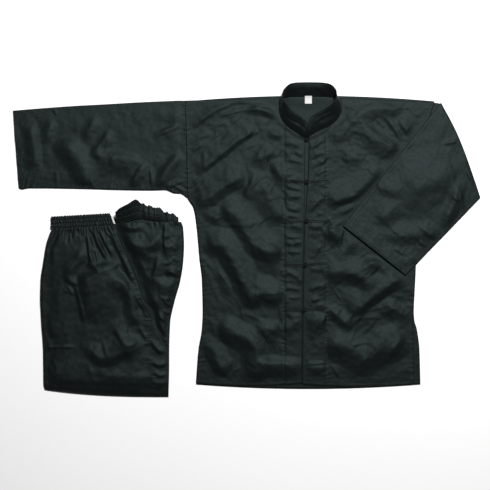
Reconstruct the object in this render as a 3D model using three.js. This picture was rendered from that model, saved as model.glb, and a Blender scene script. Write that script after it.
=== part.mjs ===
// Tai chi uniform laid flat: a jacket with a stand collar and frog closures, and elastic-waisted
// trousers folded beside it. Millimetres, +Z up, seen from above with the collar towards +Y.
// "Right" and "left" are the wearer's, so the jacket's right side lies towards -X.
// Jacket sizes are measured from the middle of the back neck, trouser sizes from the middle of
// the folded legs.

import * as THREE from 'three';

// Driving dimensions
const wall = 1.2;
const gap = 0.3;
const collarWall = 2;
const frontFloor = wall + gap;
const placketWidth = 54;
const placketRise = wall + gap;
const sleeveDepth = 4.2;
const foldRadius = 2.6;
const collarHeight = 42;
const cord = { radius: 1.5, strandOffset: 1.8, knot: 5, eye: 7.4 };
const trouserStack = { core: 5.2, dome: 4.5, curl: 9 };
const waistGathers = 20;
const trousersPlace = { x: -487.5, y: -520 };

// Finish of each material
const cloth = { color: 0x252a2a, roughness: 0.88, metalness: 0 };
const cordCloth = { color: 0x1c2020, roughness: 0.7, metalness: 0 };
const casing = { color: 0x2c3131, roughness: 0.9, metalness: 0 };
const labelCloth = { color: 0xf4f4f2, roughness: 0.8, metalness: 0 };

// A table with named columns: one object for each row.
function table(names, rows) {
  const keys = names.split(' ');
  return rows.map((row) => Object.fromEntries(keys.map((key, i) => [key, row[i]])));
}

const clamp01 = (t) => Math.min(1, Math.max(0, t));
const smooth = (t) => clamp01(t) ** 2 * (3 - 2 * clamp01(t));
const mix = (a, b, t) => a + (b - a) * t;
const evenly = (count) => Array.from({ length: count + 1 }, (_, i) => i / count);

// One column of a table at a place between its rows, on a smooth curve with no overshoot.
function along(rows, key, column, at) {
  const secant = (k) => (rows[k + 1][column] - rows[k][column]) / (rows[k + 1][key] - rows[k][key]);
  const slope = (k) => {
    if (k === 0 || k === rows.length - 1) return secant(Math.min(k, rows.length - 2));
    const before = secant(k - 1);
    const after = secant(k);
    return before * after > 0 ? (2 * before * after) / (before + after) : 0;
  };
  let k = 0;
  while (k < rows.length - 2 && rows[k + 1][key] < at) k += 1;
  const span = rows[k + 1][key] - rows[k][key];
  const t = clamp01((at - rows[k][key]) / span);
  const start = rows[k][column] * (1 + 2 * t) * (1 - t) ** 2 + slope(k) * span * t * (1 - t) ** 2;
  const end = rows[k + 1][column] * (3 - 2 * t) * t ** 2 - slope(k + 1) * span * (1 - t) * t ** 2;
  return start + end;
}

// Folds. Each row is the crest of one fold from (x1, y1) to (x2, y2). The steep flank lies to the
// right of that course and the gentle one to the left, and bow bends the crest to the left.
const foldColumns = 'x1 y1 x2 y2 bow height steep gentle';

function foldLift(folds, x, y) {
  let lift = 0;
  for (const fold of folds) {
    const length = Math.hypot(fold.x2 - fold.x1, fold.y2 - fold.y1);
    const ux = (fold.x2 - fold.x1) / length;
    const uy = (fold.y2 - fold.y1) / length;
    const s = ((x - fold.x1) * ux + (y - fold.y1) * uy) / length;
    const side = (y - fold.y1) * ux - (x - fold.x1) * uy - 4 * fold.bow * s * (1 - s);
    const flank = Math.abs(side) / (side > 0 ? fold.gentle : fold.steep);
    const ends = smooth((s + 0.08) / 0.3) * smooth((1.08 - s) / 0.3);
    lift += fold.height * ends * (1 - smooth(flank));
  }
  return 12 * Math.tanh(lift / 12);
}

const rightFrontFolds = table(foldColumns, [
  [-272, -268, -158, -202, 0, 7, 22, 60],
  [-265, -198, -108, -82, 0, 4, 14, 35],
  [-292, -75, -168, -10, 0, 3.5, 12, 25],
  [-225, -50, -118, -32, 0, 2.5, 10, 20],
  [-142, -48, -60, -42, 12, 4, 16, 20],
  [-295, -225, -228, -148, 0, 3, 12, 25],
  [-160, -252, -130, -160, 0, 4, 24, 30],
  [-92, -140, -50, -225, 0, 4.5, 20, 30],
  [-208, -285, -108, -388, 4, 6.5, 24, 50],
  [-138, -365, -55, -395, 0, 5, 70, 25],
  [-232, -370, -130, -500, 6, 7.5, 26, 40],
  [-138, -502, -55, -508, 12, 5, 38, 30],
  [-215, -438, -172, -528, 0, 2.5, 10, 10],
  [-212, -555, -128, -620, 0, 5.5, 45, 25],
  [-130, -615, -120, -725, 0, 5, 45, 30],
  [-258, -602, -198, -700, 0, 4.5, 22, 30],
  [-118, -585, -5, -570, 0, 5, 55, 30],
  [-122, -672, -5, -675, 0, 5, 42, 30],
  [-262, -295, -198, -295, 0, 3, 25, 20],
  [-95, -85, -12, -110, 0, 3, 18, 20],
  [-100, -270, -52, -315, 0, 3.5, 30, 25],
]);

const leftFrontFolds = table(foldColumns, [
  [128, -60, 188, -25, 0, 3.5, 18, 25],
  [188, -25, 298, -85, 8, 3.5, 16, 20],
  [82, -72, 140, -60, 0, 3.5, 45, 20],
  [148, -90, 242, -130, 0, 4, 35, 25],
  [100, -128, 155, -158, 0, 2.5, 20, 20],
  [52, -272, 158, -232, 0, 5, 16, 45],
  [52, -338, 102, -318, 0, 5, 70, 20],
  [98, -375, 172, -358, 0, 3, 30, 25],
  [148, -428, 230, -412, 0, 3.5, 30, 20],
  [45, -460, 112, -438, 4, 6, 24, 35],
  [108, -438, 180, -480, 6, 6, 22, 35],
  [120, -552, 258, -458, 5, 6.5, 24, 40],
  [200, -508, 272, -552, 0, 4.5, 36, 15],
  [52, -530, 112, -585, 0, 3.5, 20, 20],
  [45, -612, 145, -650, 0, 7, 45, 45],
  [140, -650, 252, -590, 0, 7, 40, 45],
  [90, -570, 130, -488, 0, 2, 15, 15],
  [-5, -562, 52, -558, 0, 4, 50, 20],
  [-2, -498, 58, -480, 0, 3, 15, 35],
  [-5, -685, 52, -688, 0, 3.5, 30, 15],
]);

const rightSleeveFolds = table(foldColumns, [
  [-698, -52, -672, -152, 0, 3, 22, 15],
  [-632, -38, -655, -110, 0, 3, 25, 15],
  [-602, -92, -550, -178, 0, 5, 45, 35],
  [-518, -62, -388, -132, 0, 4, 70, 25],
  [-552, -182, -442, -222, 0, 4, 14, 40],
  [-438, -232, -405, -162, 0, 3.5, 12, 20],
  [-375, -232, -302, -130, 5, 5, 18, 30],
]);

const leftSleeveFolds = table(foldColumns, [
  [232, -260, 392, -178, 6, 6, 48, 55],
  [178, -212, 242, -258, 0, 2.5, 18, 25],
  [180, -318, 240, -258, 0, 3.5, 25, 20],
  [348, -322, 388, -208, 0, 4, 22, 15],
  [282, -320, 330, -358, 0, 2.5, 10, 20],
  [198, -350, 318, -342, 0, 3, 22, 25],
]);

const topLegFolds = table(foldColumns, [
  [-132, 118, -98, 118, 0, 3, 22, 20],
  [-90, 62, -62, -48, 0, 4, 20, 25],
  [-50, 108, 5, 112, -12, 5, 25, 35],
  [5, 65, 70, -32, 4, 6, 28, 20],
  [-20, -75, 60, -92, 0, 5, 30, 45],
  [52, -88, 82, -55, 0, 3, 25, 15],
  [-20, -70, -5, -138, 0, 2.5, 14, 15],
  [-50, -118, 50, -112, 0, 4, 45, 25],
  [40, 78, 65, 12, 0, 2.5, 12, 12],
]);

const underLegFolds = table(foldColumns, [
  [52, 170, 135, 212, 0, 5, 20, 25],
  [55, 158, 128, 138, 0, 6, 60, 20],
  [20, 208, 82, 210, 0, 3, 25, 10],
  [140, 162, 170, 122, 0, 3, 20, 15],
  [115, -50, 148, -80, 0, 4, 14, 40],
  [100, -152, 150, -158, 0, 3, 12, 12],
]);

// Solids. Triangles are split along the same diagonal on both faces of a wall, so that the wall
// keeps its thickness.
function solid(name, points, triangles, look) {
  const corner = (i) => new THREE.Vector3(...points[i]);
  const volume = triangles.reduce((sum, [a, b, c]) => sum + corner(a).dot(corner(b).cross(corner(c))), 0);
  const outward = volume > 0 ? triangles : triangles.map(([a, b, c]) => [a, c, b]);
  const geometry = new THREE.BufferGeometry();
  geometry.setAttribute('position', new THREE.Float32BufferAttribute(points.flat(), 3));
  geometry.setIndex(outward.flat());
  geometry.computeVertexNormals();
  const mesh = new THREE.Mesh(geometry, new THREE.MeshStandardMaterial(look));
  mesh.name = name;
  return mesh;
}

function quad(a, b, c, d) {
  return [[a, b, c], [a, c, d]];
}

// A sheet: surface(u, v) gives the points of its two faces. rim(point, under, k), where given, adds
// rings between them, which shape the edge.
function sheetSolid(name, us, vs, surface, look, rim = null, rings = 0) {
  const count = us.length * vs.length;
  const at = (i, j) => j * us.length + i;
  const sides = vs.map((v) => us.map((u) => surface(u, v))).flat();
  const points = [...sides.map((side) => side.top), ...sides.map((side) => side.under)];
  const triangles = [];
  for (let j = 0; j < vs.length - 1; j += 1) {
    for (let i = 0; i < us.length - 1; i += 1) {
      const cell = quad(at(i, j), at(i + 1, j), at(i + 1, j + 1), at(i, j + 1));
      triangles.push(...cell, ...cell.map(([a, b, c]) => [a + count, c + count, b + count]));
    }
  }
  const lastU = us.length - 1;
  const lastV = vs.length - 1;
  const loop = [
    ...us.slice(0, lastU).map((_, i) => at(i, 0)),
    ...vs.slice(0, lastV).map((_, j) => at(lastU, j)),
    ...us.slice(0, lastU).map((_, i) => at(lastU - i, lastV)),
    ...vs.slice(0, lastV).map((_, j) => at(0, lastV - j)),
  ];
  let upper = loop;
  for (let k = 1; k <= rings + 1; k += 1) {
    const lower = k > rings ? loop.map((p) => p + count) : loop.map((p, n) => points.length + n);
    if (k <= rings) points.push(...loop.map((p) => rim(points[p], points[p + count], k)));
    for (let n = 0; n < loop.length; n += 1) {
      const next = (n + 1) % loop.length;
      triangles.push(...quad(upper[next], upper[n], lower[n], lower[next]));
    }
    upper = lower;
  }
  return solid(name, points, triangles, look);
}

// A flattened tube with a wall: point(station, place, inner) goes round the tube at each station.
function tubeSolid(name, stations, places, point, look) {
  const ring = places.length;
  const count = stations.length * ring;
  const points = [false, true].flatMap((inner) =>
    stations.flatMap((station) => places.map((place) => point(station, place, inner))));
  const triangles = [];
  for (let k = 0; k < ring; k += 1) {
    const next = (k + 1) % ring;
    for (let s = 0; s < stations.length - 1; s += 1) {
      const row = s * ring;
      const cell = quad(row + k, row + next, row + ring + next, row + ring + k);
      triangles.push(...cell, ...cell.map(([a, b, c]) => [a + count, c + count, b + count]));
    }
    const end = (stations.length - 1) * ring;
    triangles.push(...quad(next, k, k + count, next + count));
    triangles.push(...quad(end + k, end + next, end + next + count, end + k + count));
  }
  return solid(name, points, triangles, look);
}

// A closed bar through sections, each a ring of points, with a flat cap at both ends.
function barSolid(name, sections, look) {
  const ring = sections[0].length;
  const points = sections.flat();
  const triangles = [];
  for (let s = 0; s < sections.length - 1; s += 1) {
    for (let k = 0; k < ring; k += 1) {
      const next = (k + 1) % ring;
      triangles.push(...quad(s * ring + k, s * ring + next, (s + 1) * ring + next, (s + 1) * ring + k));
    }
  }
  const end = (sections.length - 1) * ring;
  for (let k = 1; k < ring - 1; k += 1) {
    triangles.push([0, k + 1, k], [end, end + k, end + k + 1]);
  }
  return solid(name, points, triangles, look);
}

// The highest point of some sheets within reach of (x, y), for what lies on them.
function supportOf(meshes) {
  const faces = meshes.flatMap((mesh) => {
    const position = mesh.geometry.getAttribute('position');
    const index = mesh.geometry.getIndex().array;
    const corner = (n) => new THREE.Vector3().fromBufferAttribute(position, index[n]);
    const triangles = evenly(index.length / 3 - 1);
    return triangles.map((_, t) => [corner(3 * t), corner(3 * t + 1), corner(3 * t + 2)]);
  });
  const heightAt = (x, y) => {
    let height = 0;
    for (const [a, b, c] of faces) {
      const area = (b.x - a.x) * (c.y - a.y) - (c.x - a.x) * (b.y - a.y);
      if (area < 1e-6) continue;
      const s = ((b.x - x) * (c.y - y) - (c.x - x) * (b.y - y)) / area;
      const t = ((c.x - x) * (a.y - y) - (a.x - x) * (c.y - y)) / area;
      if (s < 0 || t < 0 || s + t > 1) continue;
      height = Math.max(height, s * a.z + t * b.z + (1 - s - t) * c.z);
    }
    return height;
  };
  return (x, y, reach) => {
    const ring = evenly(8).map((t) => heightAt(
      x + reach * Math.cos(2 * Math.PI * t),
      y + reach * Math.sin(2 * Math.PI * t),
    ));
    return Math.max(heightAt(x, y), ...ring);
  };
}

// Jacket outlines. Each row is a level down a panel: its distance below the shoulder, the x of its
// centre and side edges, and how far the row drops at its side and in its middle.
const panelColumns = 'below centre side drop sag';

const rightFrontRows = table(panelColumns, [
  [3, -64, -300, 6, 0],
  [34, -64.5, -299.3, 3, 0],
  [60, -55.5, -298.7, 0, 0],
  [79, -36.5, -298.3, 0, 0],
  [91, -17.5, -298, 0, 0],
  [104, 0, -297.7, 0, 0],
  [180, -1.2, -296, 0, 0],
  [255, -1.2, -294.3, 0, 0],
  [266, -1.5, -285.5, 0, 0],
  [284, -2, -278.3, 0, 0],
  [320, -3, -272.5, 0, 0],
  [407, -4.5, -264.3, 0, 0],
  [457, -5.5, -258.5, 0, 0],
  [540, -6.8, -256.5, 0, 0],
  [581, -7.5, -258.5, 0, 0],
  [631, -8, -266.8, 0, 0],
  [717, -8.5, -273.5, 0, 7],
]);

const leftFrontRows = table(panelColumns, [
  [2, 88.5, 323.8, 11, 0],
  [34, 89.8, 314.5, 6, 0],
  [56, 78.3, 309.5, 4, 0],
  [70, 63, 307.5, 2, 0],
  [83, 33.8, 306.5, 0, 0],
  [98, 10.8, 306, 0, 0],
  [180, 10.8, 305, 0, 0],
  [247, 3.3, 305, 0, 0],
  [257, 3, 297.5, 0, 0],
  [282, 2.4, 287.5, 0, 0],
  [320, 1.2, 282.5, 0, 0],
  [382, -0.5, 278.8, 0, 0],
  [445, -1.7, 276.3, 0, 0],
  [560, -4, 271.3, 0, 0],
  [632, -4.5, 272.3, 0, 0],
  [719, -5, 273.8, 0, 7],
]);

const backRows = table('below right left drop sag', [
  [4, -299.7, 323.4, 8, -4],
  [60, -298.7, 309.3, 3, 0],
  [160, -296.5, 305, 0, 0],
  [247, -294.6, 305, 0, 0],
  [257, -293.3, 297.5, 0, 0],
  [282, -279, 287.5, 0, 0],
  [320, -272.5, 282.5, 0, 0],
  [382, -266.5, 278.8, 0, 0],
  [445, -260, 276.3, 0, 0],
  [540, -256.5, 273, 0, 0],
  [560, -257.5, 274.5, 0, 0],
  [581, -259, 280.5, 0, 0],
  [631, -267, 287, 0, 0],
  [720, -273.8, 289.5, 0, 11],
]);

// The cuff of the folded sleeve lies on the left front, which stays low under it.
const foldedSleeve = {
  foldTop: [341.8, -14.3],
  foldFoot: [440, -252],
  cuffTop: [93.8, -322.5],
  cuffFoot: [251.3, -446.3],
};

// How far (x, y) lies outside the line from one corner to another, to the left of that course.
function outside([x1, y1], [x2, y2], x, y) {
  return ((x2 - x1) * (y - y1) - (y2 - y1) * (x - x1)) / Math.hypot(x2 - x1, y2 - y1);
}

function pressedBySleeve(x, y) {
  const { foldTop, cuffTop, cuffFoot } = foldedSleeve;
  const aboveEdge = -outside(foldTop, cuffTop, x, y);
  const beyondCuff = -outside(cuffTop, cuffFoot, x, y);
  return 1 - smooth(Math.max(aboveEdge, beyondCuff) / 30);
}

// A front panel: u runs from the centre edge to the side seam and v down the rows.
function frontSurface(rows, folds, pressed) {
  const last = rows[rows.length - 1].below;
  return (u, v) => {
    const below = mix(rows[0].below, last, v);
    const centre = along(rows, 'below', 'centre', below);
    const side = along(rows, 'below', 'side', below);
    const drop = along(rows, 'below', 'drop', below);
    const sag = along(rows, 'below', 'sag', below);
    const x = mix(centre, side, u);
    const y = -below - drop * u - sag * 4 * u * (1 - u);
    const fromCentre = Math.abs(x - centre);
    const fromSide = Math.abs(side - x);
    const inNeck = 1 - smooth((below - 90) / 60);
    const free = mix(0.45 + 0.55 * smooth(fromCentre / 40), smooth(fromCentre / 30), inNeck);
    const held = 0.15 + 0.85 * smooth(fromSide / 35);
    const shoulder = 0.2 + 0.8 * smooth((below - rows[0].below) / 25);
    const hem = 0.3 + 0.7 * smooth((last - below) / 35);
    const lift = foldLift(folds, x, y) * free * held * shoulder * hem * (1 - pressed(x, y));
    const placket = placketRise * (1 - smooth((Math.abs(x) - 32) / (placketWidth - 32)));
    const under = frontFloor + placket + lift;
    return { top: [x, y, under + wall], under: [x, y, under] };
  };
}

function backSurface(u, v) {
  const below = mix(backRows[0].below, backRows[backRows.length - 1].below, v);
  const at = (column) => along(backRows, 'below', column, below);
  const x = mix(at('right'), at('left'), u);
  const y = -below - at('drop') * (2 * u - 1) ** 2 - at('sag') * 4 * u * (1 - u);
  return { top: [x, y, wall], under: [x, y, 0] };
}

function underlapSurface(u, v) {
  const x = mix(-10, 19, u);
  const y = mix(-112, -716, v);
  return { top: [x, y, frontFloor + wall], under: [x, y, frontFloor] };
}

// Places round a flattened sleeve: across runs from its upper edge (0) to its lower edge (1), and
// layer is +1 on the cloth that is on top once the sleeve lies as shown, -1 on the other.
function sleevePlaces(topCount, underCount) {
  const inset = 0.012;
  const row = (count, layer) => evenly(count - 1).map((t) => ({ across: mix(inset, 1 - inset, t), layer }));
  return [
    { across: 0, layer: 0 }, ...row(topCount, 1),
    { across: 1, layer: 0 }, ...row(underCount, -1).reverse(),
  ];
}

// Right sleeve: each row is a station from the seam to the cuff, with its upper and lower edge.
const rightSleeveStations = table('ux uy lx ly', [
  [-300.7, -9, -295.3, -253.8],
  [-318, -8.8, -312, -242.5],
  [-336, -9.6, -327.5, -241.5],
  [-362, -10.6, -352, -233.2],
  [-398, -12.2, -384, -234],
  [-430, -13.8, -414, -233.9],
  [-464, -15.8, -446, -233.3],
  [-498, -17.8, -478, -232.6],
  [-532, -19.6, -510, -231.6],
  [-566, -21.4, -542, -230.6],
  [-600, -23.6, -578, -229.8],
  [-636, -26.2, -618, -229],
  [-670, -28.8, -656, -228.5],
  [-702, -31.4, -690, -228.5],
  [-722, -33.2, -709, -231.5],
  [-731.5, -34, -717, -228.8],
]);

function rightSleevePoint(station, { across, layer }, inner) {
  const width = Math.hypot(station.ux - station.lx, station.uy - station.ly);
  const t = inner ? mix(wall / width, 1 - wall / width, across) : across;
  const x = mix(station.ux, station.lx, t);
  const y = mix(station.uy, station.ly, t);
  const nearEdge = smooth((Math.min(t, 1 - t) * width) / 18);
  const nearSeam = 0.3 + 0.7 * smooth((-300 - x) / 30);
  const lift = layer > 0 ? foldLift(rightSleeveFolds, x, y) * nearEdge * nearSeam : 0;
  const half = sleeveDepth / 2 - (inner ? wall : 0);
  return [x, y, sleeveDepth / 2 + half * layer + lift];
}

// Left sleeve: the low stretch runs from the armhole to the fold, turns over on a small radius,
// and comes back over itself to the cuff. Each row has the sleeve's upper and lower edge, the turn
// in degrees (-90 lying low, +90 lying on top) and the height that the top stretch has sunk.
const foldOut = (() => {
  const [x1, y1] = foldedSleeve.foldTop;
  const [x2, y2] = foldedSleeve.foldFoot;
  const length = Math.hypot(x2 - x1, y2 - y1);
  return { x: (y1 - y2) / length, y: (x2 - x1) / length };
})();

const foldAxis = (() => {
  const inset = foldRadius + sleeveDepth / 2;
  const { foldTop, foldFoot } = foldedSleeve;
  return {
    ux: foldTop[0] - inset * foldOut.x,
    uy: foldTop[1] - inset * foldOut.y,
    lx: foldFoot[0] - inset * foldOut.x,
    ly: foldFoot[1] - inset * foldOut.y,
  };
})();

const sleeveCuff = {
  ux: foldedSleeve.cuffTop[0],
  uy: foldedSleeve.cuffTop[1],
  lx: foldedSleeve.cuffFoot[0],
  ly: foldedSleeve.cuffFoot[1],
};

function blendEdges(from, to, t, turn, sink) {
  return {
    ux: mix(from.ux, to.ux, t),
    uy: mix(from.uy, to.uy, t),
    lx: mix(from.lx, to.lx, t),
    ly: mix(from.ly, to.ly, t),
    turn,
    sink,
  };
}

// A panel's side edge as the sheet really runs, between its rows of corners.
function sideEdgeOf(surface, vs) {
  const corners = vs.map((v) => surface(1, v).top);
  return (y) => {
    let k = 0;
    while (k < corners.length - 2 && corners[k + 1][1] > y) k += 1;
    const t = clamp01((y - corners[k][1]) / (corners[k + 1][1] - corners[k][1]));
    return mix(corners[k][0], corners[k + 1][0], t);
  };
}

function leftSleeveStations(armhole) {
  const seam = { ux: 324.6, uy: -13.5, lx: 305.6, ly: -247 };
  const low = [0, 0.5, 1].map((t) => {
    return { ...blendEdges(seam, foldAxis, t, -90, 0), armhole, seamShare: 1 - t };
  });
  const turning = [-45, 0, 45].map((turn) => blendEdges(foldAxis, foldAxis, 0, turn, 0));
  const back = evenly(15).map((t) => {
    const sink = 1.8 * smooth((t - 0.42) / 0.3);
    return blendEdges(foldAxis, sleeveCuff, t, 90, sink);
  });
  return [...low, ...turning, ...back];
}

function leftSleevePoint(station, { across, layer }, inner) {
  const width = Math.hypot(station.ux - station.lx, station.uy - station.ly);
  const t = inner ? mix(wall / width, 1 - wall / width, across) : across;
  const turn = THREE.MathUtils.degToRad(station.turn);
  const half = sleeveDepth / 2 - (inner ? wall : 0);
  const radius = foldRadius + half * layer;
  const straightX = mix(station.ux, station.lx, t);
  const y = mix(station.uy, station.ly, t) + radius * Math.cos(turn) * foldOut.y;
  const share = station.seamShare === 1 ? 1 : 0.3 * (station.seamShare ?? 0);
  const bent = share > 0 ? share * (station.armhole(y) + 2.5 * gap - straightX) : 0;
  const x = straightX + bent + radius * Math.cos(turn) * foldOut.x;
  const nearEdge = smooth((Math.min(t, 1 - t) * width) / 18);
  const lift = layer > 0 && station.turn === 90 ? foldLift(leftSleeveFolds, x, y) * nearEdge : 0;
  const axis = sleeveDepth / 2 + foldRadius;
  return [x, y, axis + radius * Math.sin(turn) + lift - station.sink];
}

// Collar: each row is a station round the band from its right end to its left end, with the seam
// on the neckline, the rim, and the height of each above the table.
const collarStations = table('turn seamX seamY seamZ rimX rimY rimZ', [
  [0, -3.5, -101.5, 7, 1.5, -74, 18],
  [1, -8, -98, 6.5, -1.5, -62, 22],
  [2, -17.5, -91, 6, -6, -55, 23],
  [3, -36.5, -79, 5, -24, -44, 25],
  [4, -52.5, -64, 4.4, -39, -32, 28],
  [5, -61, -47.5, 4.2, -48, -21, 33],
  [6, -64.5, -30, 4.2, -54.5, -11, 36],
  [7, -64.3, -12.5, 4.2, -58, -1.3, 37],
  [8, -60, -3.5, 3.6, -56.5, 10, 34],
  [9, -51.3, -1.2, 2.9, -48.8, 21.5, 29],
  [10, -38, -1, 2.7, -36, 31, 22],
  [11, -20, -1, 2.7, -18, 34, 17],
  [12, 5, -1, 2.7, 6, 34.5, 15],
  [13, 32, -1, 2.7, 33, 34, 17],
  [14, 53, -1, 2.7, 56, 31, 22],
  [15, 67, -1.2, 2.9, 69, 22.5, 29],
  [16, 79.5, -3, 3.6, 75.8, 10, 34],
  [17, 88.8, -11, 4.2, 75.5, -2.5, 37],
  [18, 90.6, -28, 4.2, 70, -13.8, 36],
  [19, 86, -45, 4.2, 61.3, -23, 33],
  [20, 74.5, -61, 4.4, 46.3, -33, 28],
  [21, 55, -74.5, 5, 28, -42, 25],
  [22, 34, -84, 6, 14.5, -52, 23],
  [23, 19, -92.5, 6.5, 9.5, -61, 22],
  [24, 11, -98.5, 7, 7.5, -72, 18],
]);

function collarMiddle(turn, rise) {
  const at = (column) => along(collarStations, 'turn', column, turn);
  const bulge = 0.1 * collarHeight * 4 * rise * (1 - rise);
  const seam = new THREE.Vector3(at('seamX'), at('seamY'), at('seamZ'));
  const lean = new THREE.Vector3(at('rimX'), at('rimY'), at('rimZ')).sub(seam);
  const middle = seam.clone().addScaledVector(lean, rise);
  const flat = new THREE.Vector3(lean.x, lean.y, 0).length() / lean.length();
  middle.z += bulge * flat * 0.6;
  return middle;
}

function collarSurface(u, v) {
  const turn = u * 24;
  const step = 0.01;
  const round = collarMiddle(Math.min(turn + step, 24), v).sub(collarMiddle(Math.max(turn - step, 0), v));
  const up = collarMiddle(turn, Math.min(v + step, 1)).sub(collarMiddle(turn, Math.max(v - step, 0)));
  const normal = round.cross(up).normalize().multiplyScalar(collarWall / 2);
  const middle = collarMiddle(turn, v);
  return {
    top: middle.clone().add(normal).toArray(),
    under: middle.clone().sub(normal).toArray(),
  };
}

// Neck label: sewn on the collar at its top and lying on the back below it.
const labelRows = table('below height', [
  [-5.3, 8],
  [-2, 6.6],
  [2, 5],
  [5.5, 2.8],
  [9, 1.6],
  [17, 1.6],
]);

function neckLabelSurface(u, v) {
  const below = mix(labelRows[0].below, labelRows[labelRows.length - 1].below, v);
  const height = along(labelRows, 'below', 'height', below);
  const x = mix(-2, 18, u);
  return { top: [x, -below, height + 1], under: [x, -below, height] };
}

// Frogs: one row for each, from the collar down. The button is on the right front and its arm ends
// at (armX, armY); the loop goes round the button and its arm ends at (endX, endY).
const frogs = table('armX armY knotX knotY endX endY bow', [
  [-44, -90, 4, -113, 61, -84, 4],
  [-49, -209, 4, -213.5, 57, -210, 0],
  [-50, -314, 4, -311, 57, -312, 0],
  [-52, -421, 0, -421, 52, -416, 0],
  [-50, -534, -3, -533.5, 47, -532, 0],
]);

// Sections of a button and its arm: distance short of the button's centre, half width and height.
const buttonSections = table('short half rise centre', [
  [1, 1.4, 2, 1],
  [0.97, 3, 3, 1.5],
  [0.78, 3.3, 3, 1.5],
  [0.56, 3.3, 3, 1.5],
  [0.34, 3.3, 3, 1.5],
  [0.12, 2.8, 3, 1.6],
]);
const ballAngles = [-72, -36, 0, 36, 72];

// Places along a loop's arm, as shares of its length from the button.
const loopShares = [1, 0.8, 0.6, 0.4, 0.24];

// A knot and the loop round it share one level, clear of both fronts.
function knotSeat(frog, support) {
  return support(frog.knotX, frog.knotY, cord.eye + cord.radius) + gap;
}

function buttonSolid(name, frog, support) {
  const length = Math.hypot(frog.armX - frog.knotX, frog.armY - frog.knotY);
  const ux = (frog.knotX - frog.armX) / length;
  const uy = (frog.knotY - frog.armY) / length;
  const heightAt = (x, y) => support(x, y, 6) + gap;
  const seat = knotSeat(frog, support);
  const section = (s, half, rise, centre, seated) => {
    const bow = frog.bow * 4 * (1 - s / length) * (s / length);
    const x = frog.knotX - s * ux - bow * uy * Math.sign(s);
    const y = frog.knotY - s * uy - bow * ux * Math.sign(s);
    const base = seated ? seat : Math.max(heightAt(x, y), s < 14 ? seat : 0);
    return evenly(8).slice(0, 8).map((t) => {
      const across = half * Math.cos(2 * Math.PI * t);
      const up = (rise / 2) * Math.sin(2 * Math.PI * t);
      return [x - across * uy, y + across * ux, base + centre + up];
    });
  };
  const arm = buttonSections.map((row) => {
    return section(row.short * length, row.half, row.rise, row.centre, false);
  });
  const ball = ballAngles.map((degrees) => {
    const angle = THREE.MathUtils.degToRad(degrees);
    const radius = cord.knot * Math.cos(angle);
    return section(-cord.knot * Math.sin(angle), radius, 2 * radius, cord.knot, true);
  });
  return barSolid(name, [...arm, ...ball], cordCloth);
}

function loopSolid(name, frog, support) {
  const length = Math.hypot(frog.endX - frog.knotX, frog.endY - frog.knotY);
  const ux = (frog.endX - frog.knotX) / length;
  const uy = (frog.endY - frog.knotY) / length;
  const seat = knotSeat(frog, support);
  const armTurn = Math.atan2(frog.armY - frog.knotY, frog.armX - frog.knotX) - Math.atan2(uy, ux);
  const place = (s, across, lift) => {
    const bow = frog.bow * 4 * (s / length) * (1 - s / length) * (s > cord.eye ? 1 : 0);
    const x = frog.knotX + s * ux - across * uy + bow * uy;
    const y = frog.knotY + s * uy + across * ux - bow * ux;
    const base = s > 2 * cord.eye ? support(x, y, 6) + gap : Math.max(seat, support(x, y, 3) + gap);
    return [x, y, base + cord.radius + lift];
  };
  const strand = loopShares.map((share) => place(share * length, cord.strandOffset, 0));
  const around = evenly(8).map((t) => {
    const radians = THREE.MathUtils.degToRad(mix(28, 332, t));
    const rise = 1.9 * (1 + Math.cos(radians - armTurn));
    return place(cord.eye * Math.cos(radians), cord.eye * Math.sin(radians), rise);
  });
  const back = [...loopShares].reverse().map((share) => place(share * length, -cord.strandOffset, 0));
  const path = [...strand, ...around, ...back];
  const sections = path.map((centre, k) => {
    const before = path[Math.max(k - 1, 0)];
    const after = path[Math.min(k + 1, path.length - 1)];
    const tx = after[0] - before[0];
    const ty = after[1] - before[1];
    const reach = Math.hypot(tx, ty);
    return evenly(5).slice(0, 5).map((t) => {
      const angle = 2 * Math.PI * t + Math.PI / 2;
      const out = (cord.radius * Math.cos(angle)) / reach;
      const up = cord.radius * Math.sin(angle);
      return [centre[0] - out * ty, centre[1] + out * tx, centre[2] + up];
    });
  });
  return barSolid(name, sections, cordCloth);
}

// Trousers. Each row is a level of a leg, with the x of its left and right edge. The y of a level
// may tilt, by the tilt of the right edge above the left one.
const topLegRows = table('below left right tilt', [
  [-190, -147.5, 9.5, 9],
  [-175, -154, 20, 0],
  [-152, -161.5, 30, 0],
  [-102, -170, 52.5, 0],
  [-58, -176, 70, 0],
  [-8, -177, 87.5, 0],
  [12, -176, 100, 0],
  [50, -174, 112.5, 0],
  [88, -171, 127.5, 0],
  [118, -169.5, 142.5, 0],
  [158, -169, 146.8, 0],
  [200, -168.5, 146, 0],
  [214, -165, 145, -17.5],
]);

const underLegRows = table('below left right', [
  [-207, -20, 177],
  [-194, -12, 181.8],
  [-147, 6, 184.3],
  [-103, 26, 181.8],
  [-58, 42, 174.5],
  [-8, 60, 160.5],
  [47, 84, 149.3],
  [110, 110, 147],
  [170, 118, 146.8],
]);

const coreRows = table('below left right', [
  [-212, -134, 160],
  [-202, -136, 165],
  [-190, -138, 171],
  [-147, -152, 174],
  [-102, -160, 171],
  [-58, -166, 163.5],
  [-8, -167, 151],
  [47, -164, 145.5],
  [110, -160, 144.5],
  [204, -158, 143],
]);

// How high the hidden layers swell under the top leg.
function dome(x, y) {
  const level = Math.max(-y, topLegRows[0].below);
  const right = along(topLegRows, 'below', 'right', level);
  const left = along(topLegRows, 'below', 'left', level);
  const inside = smooth((x - left - 10) / 50) * smooth((right - 45 - x) / 50);
  return trouserStack.dome * inside * smooth((190 - y) / 70) * smooth((y + 200) / 50);
}

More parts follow.
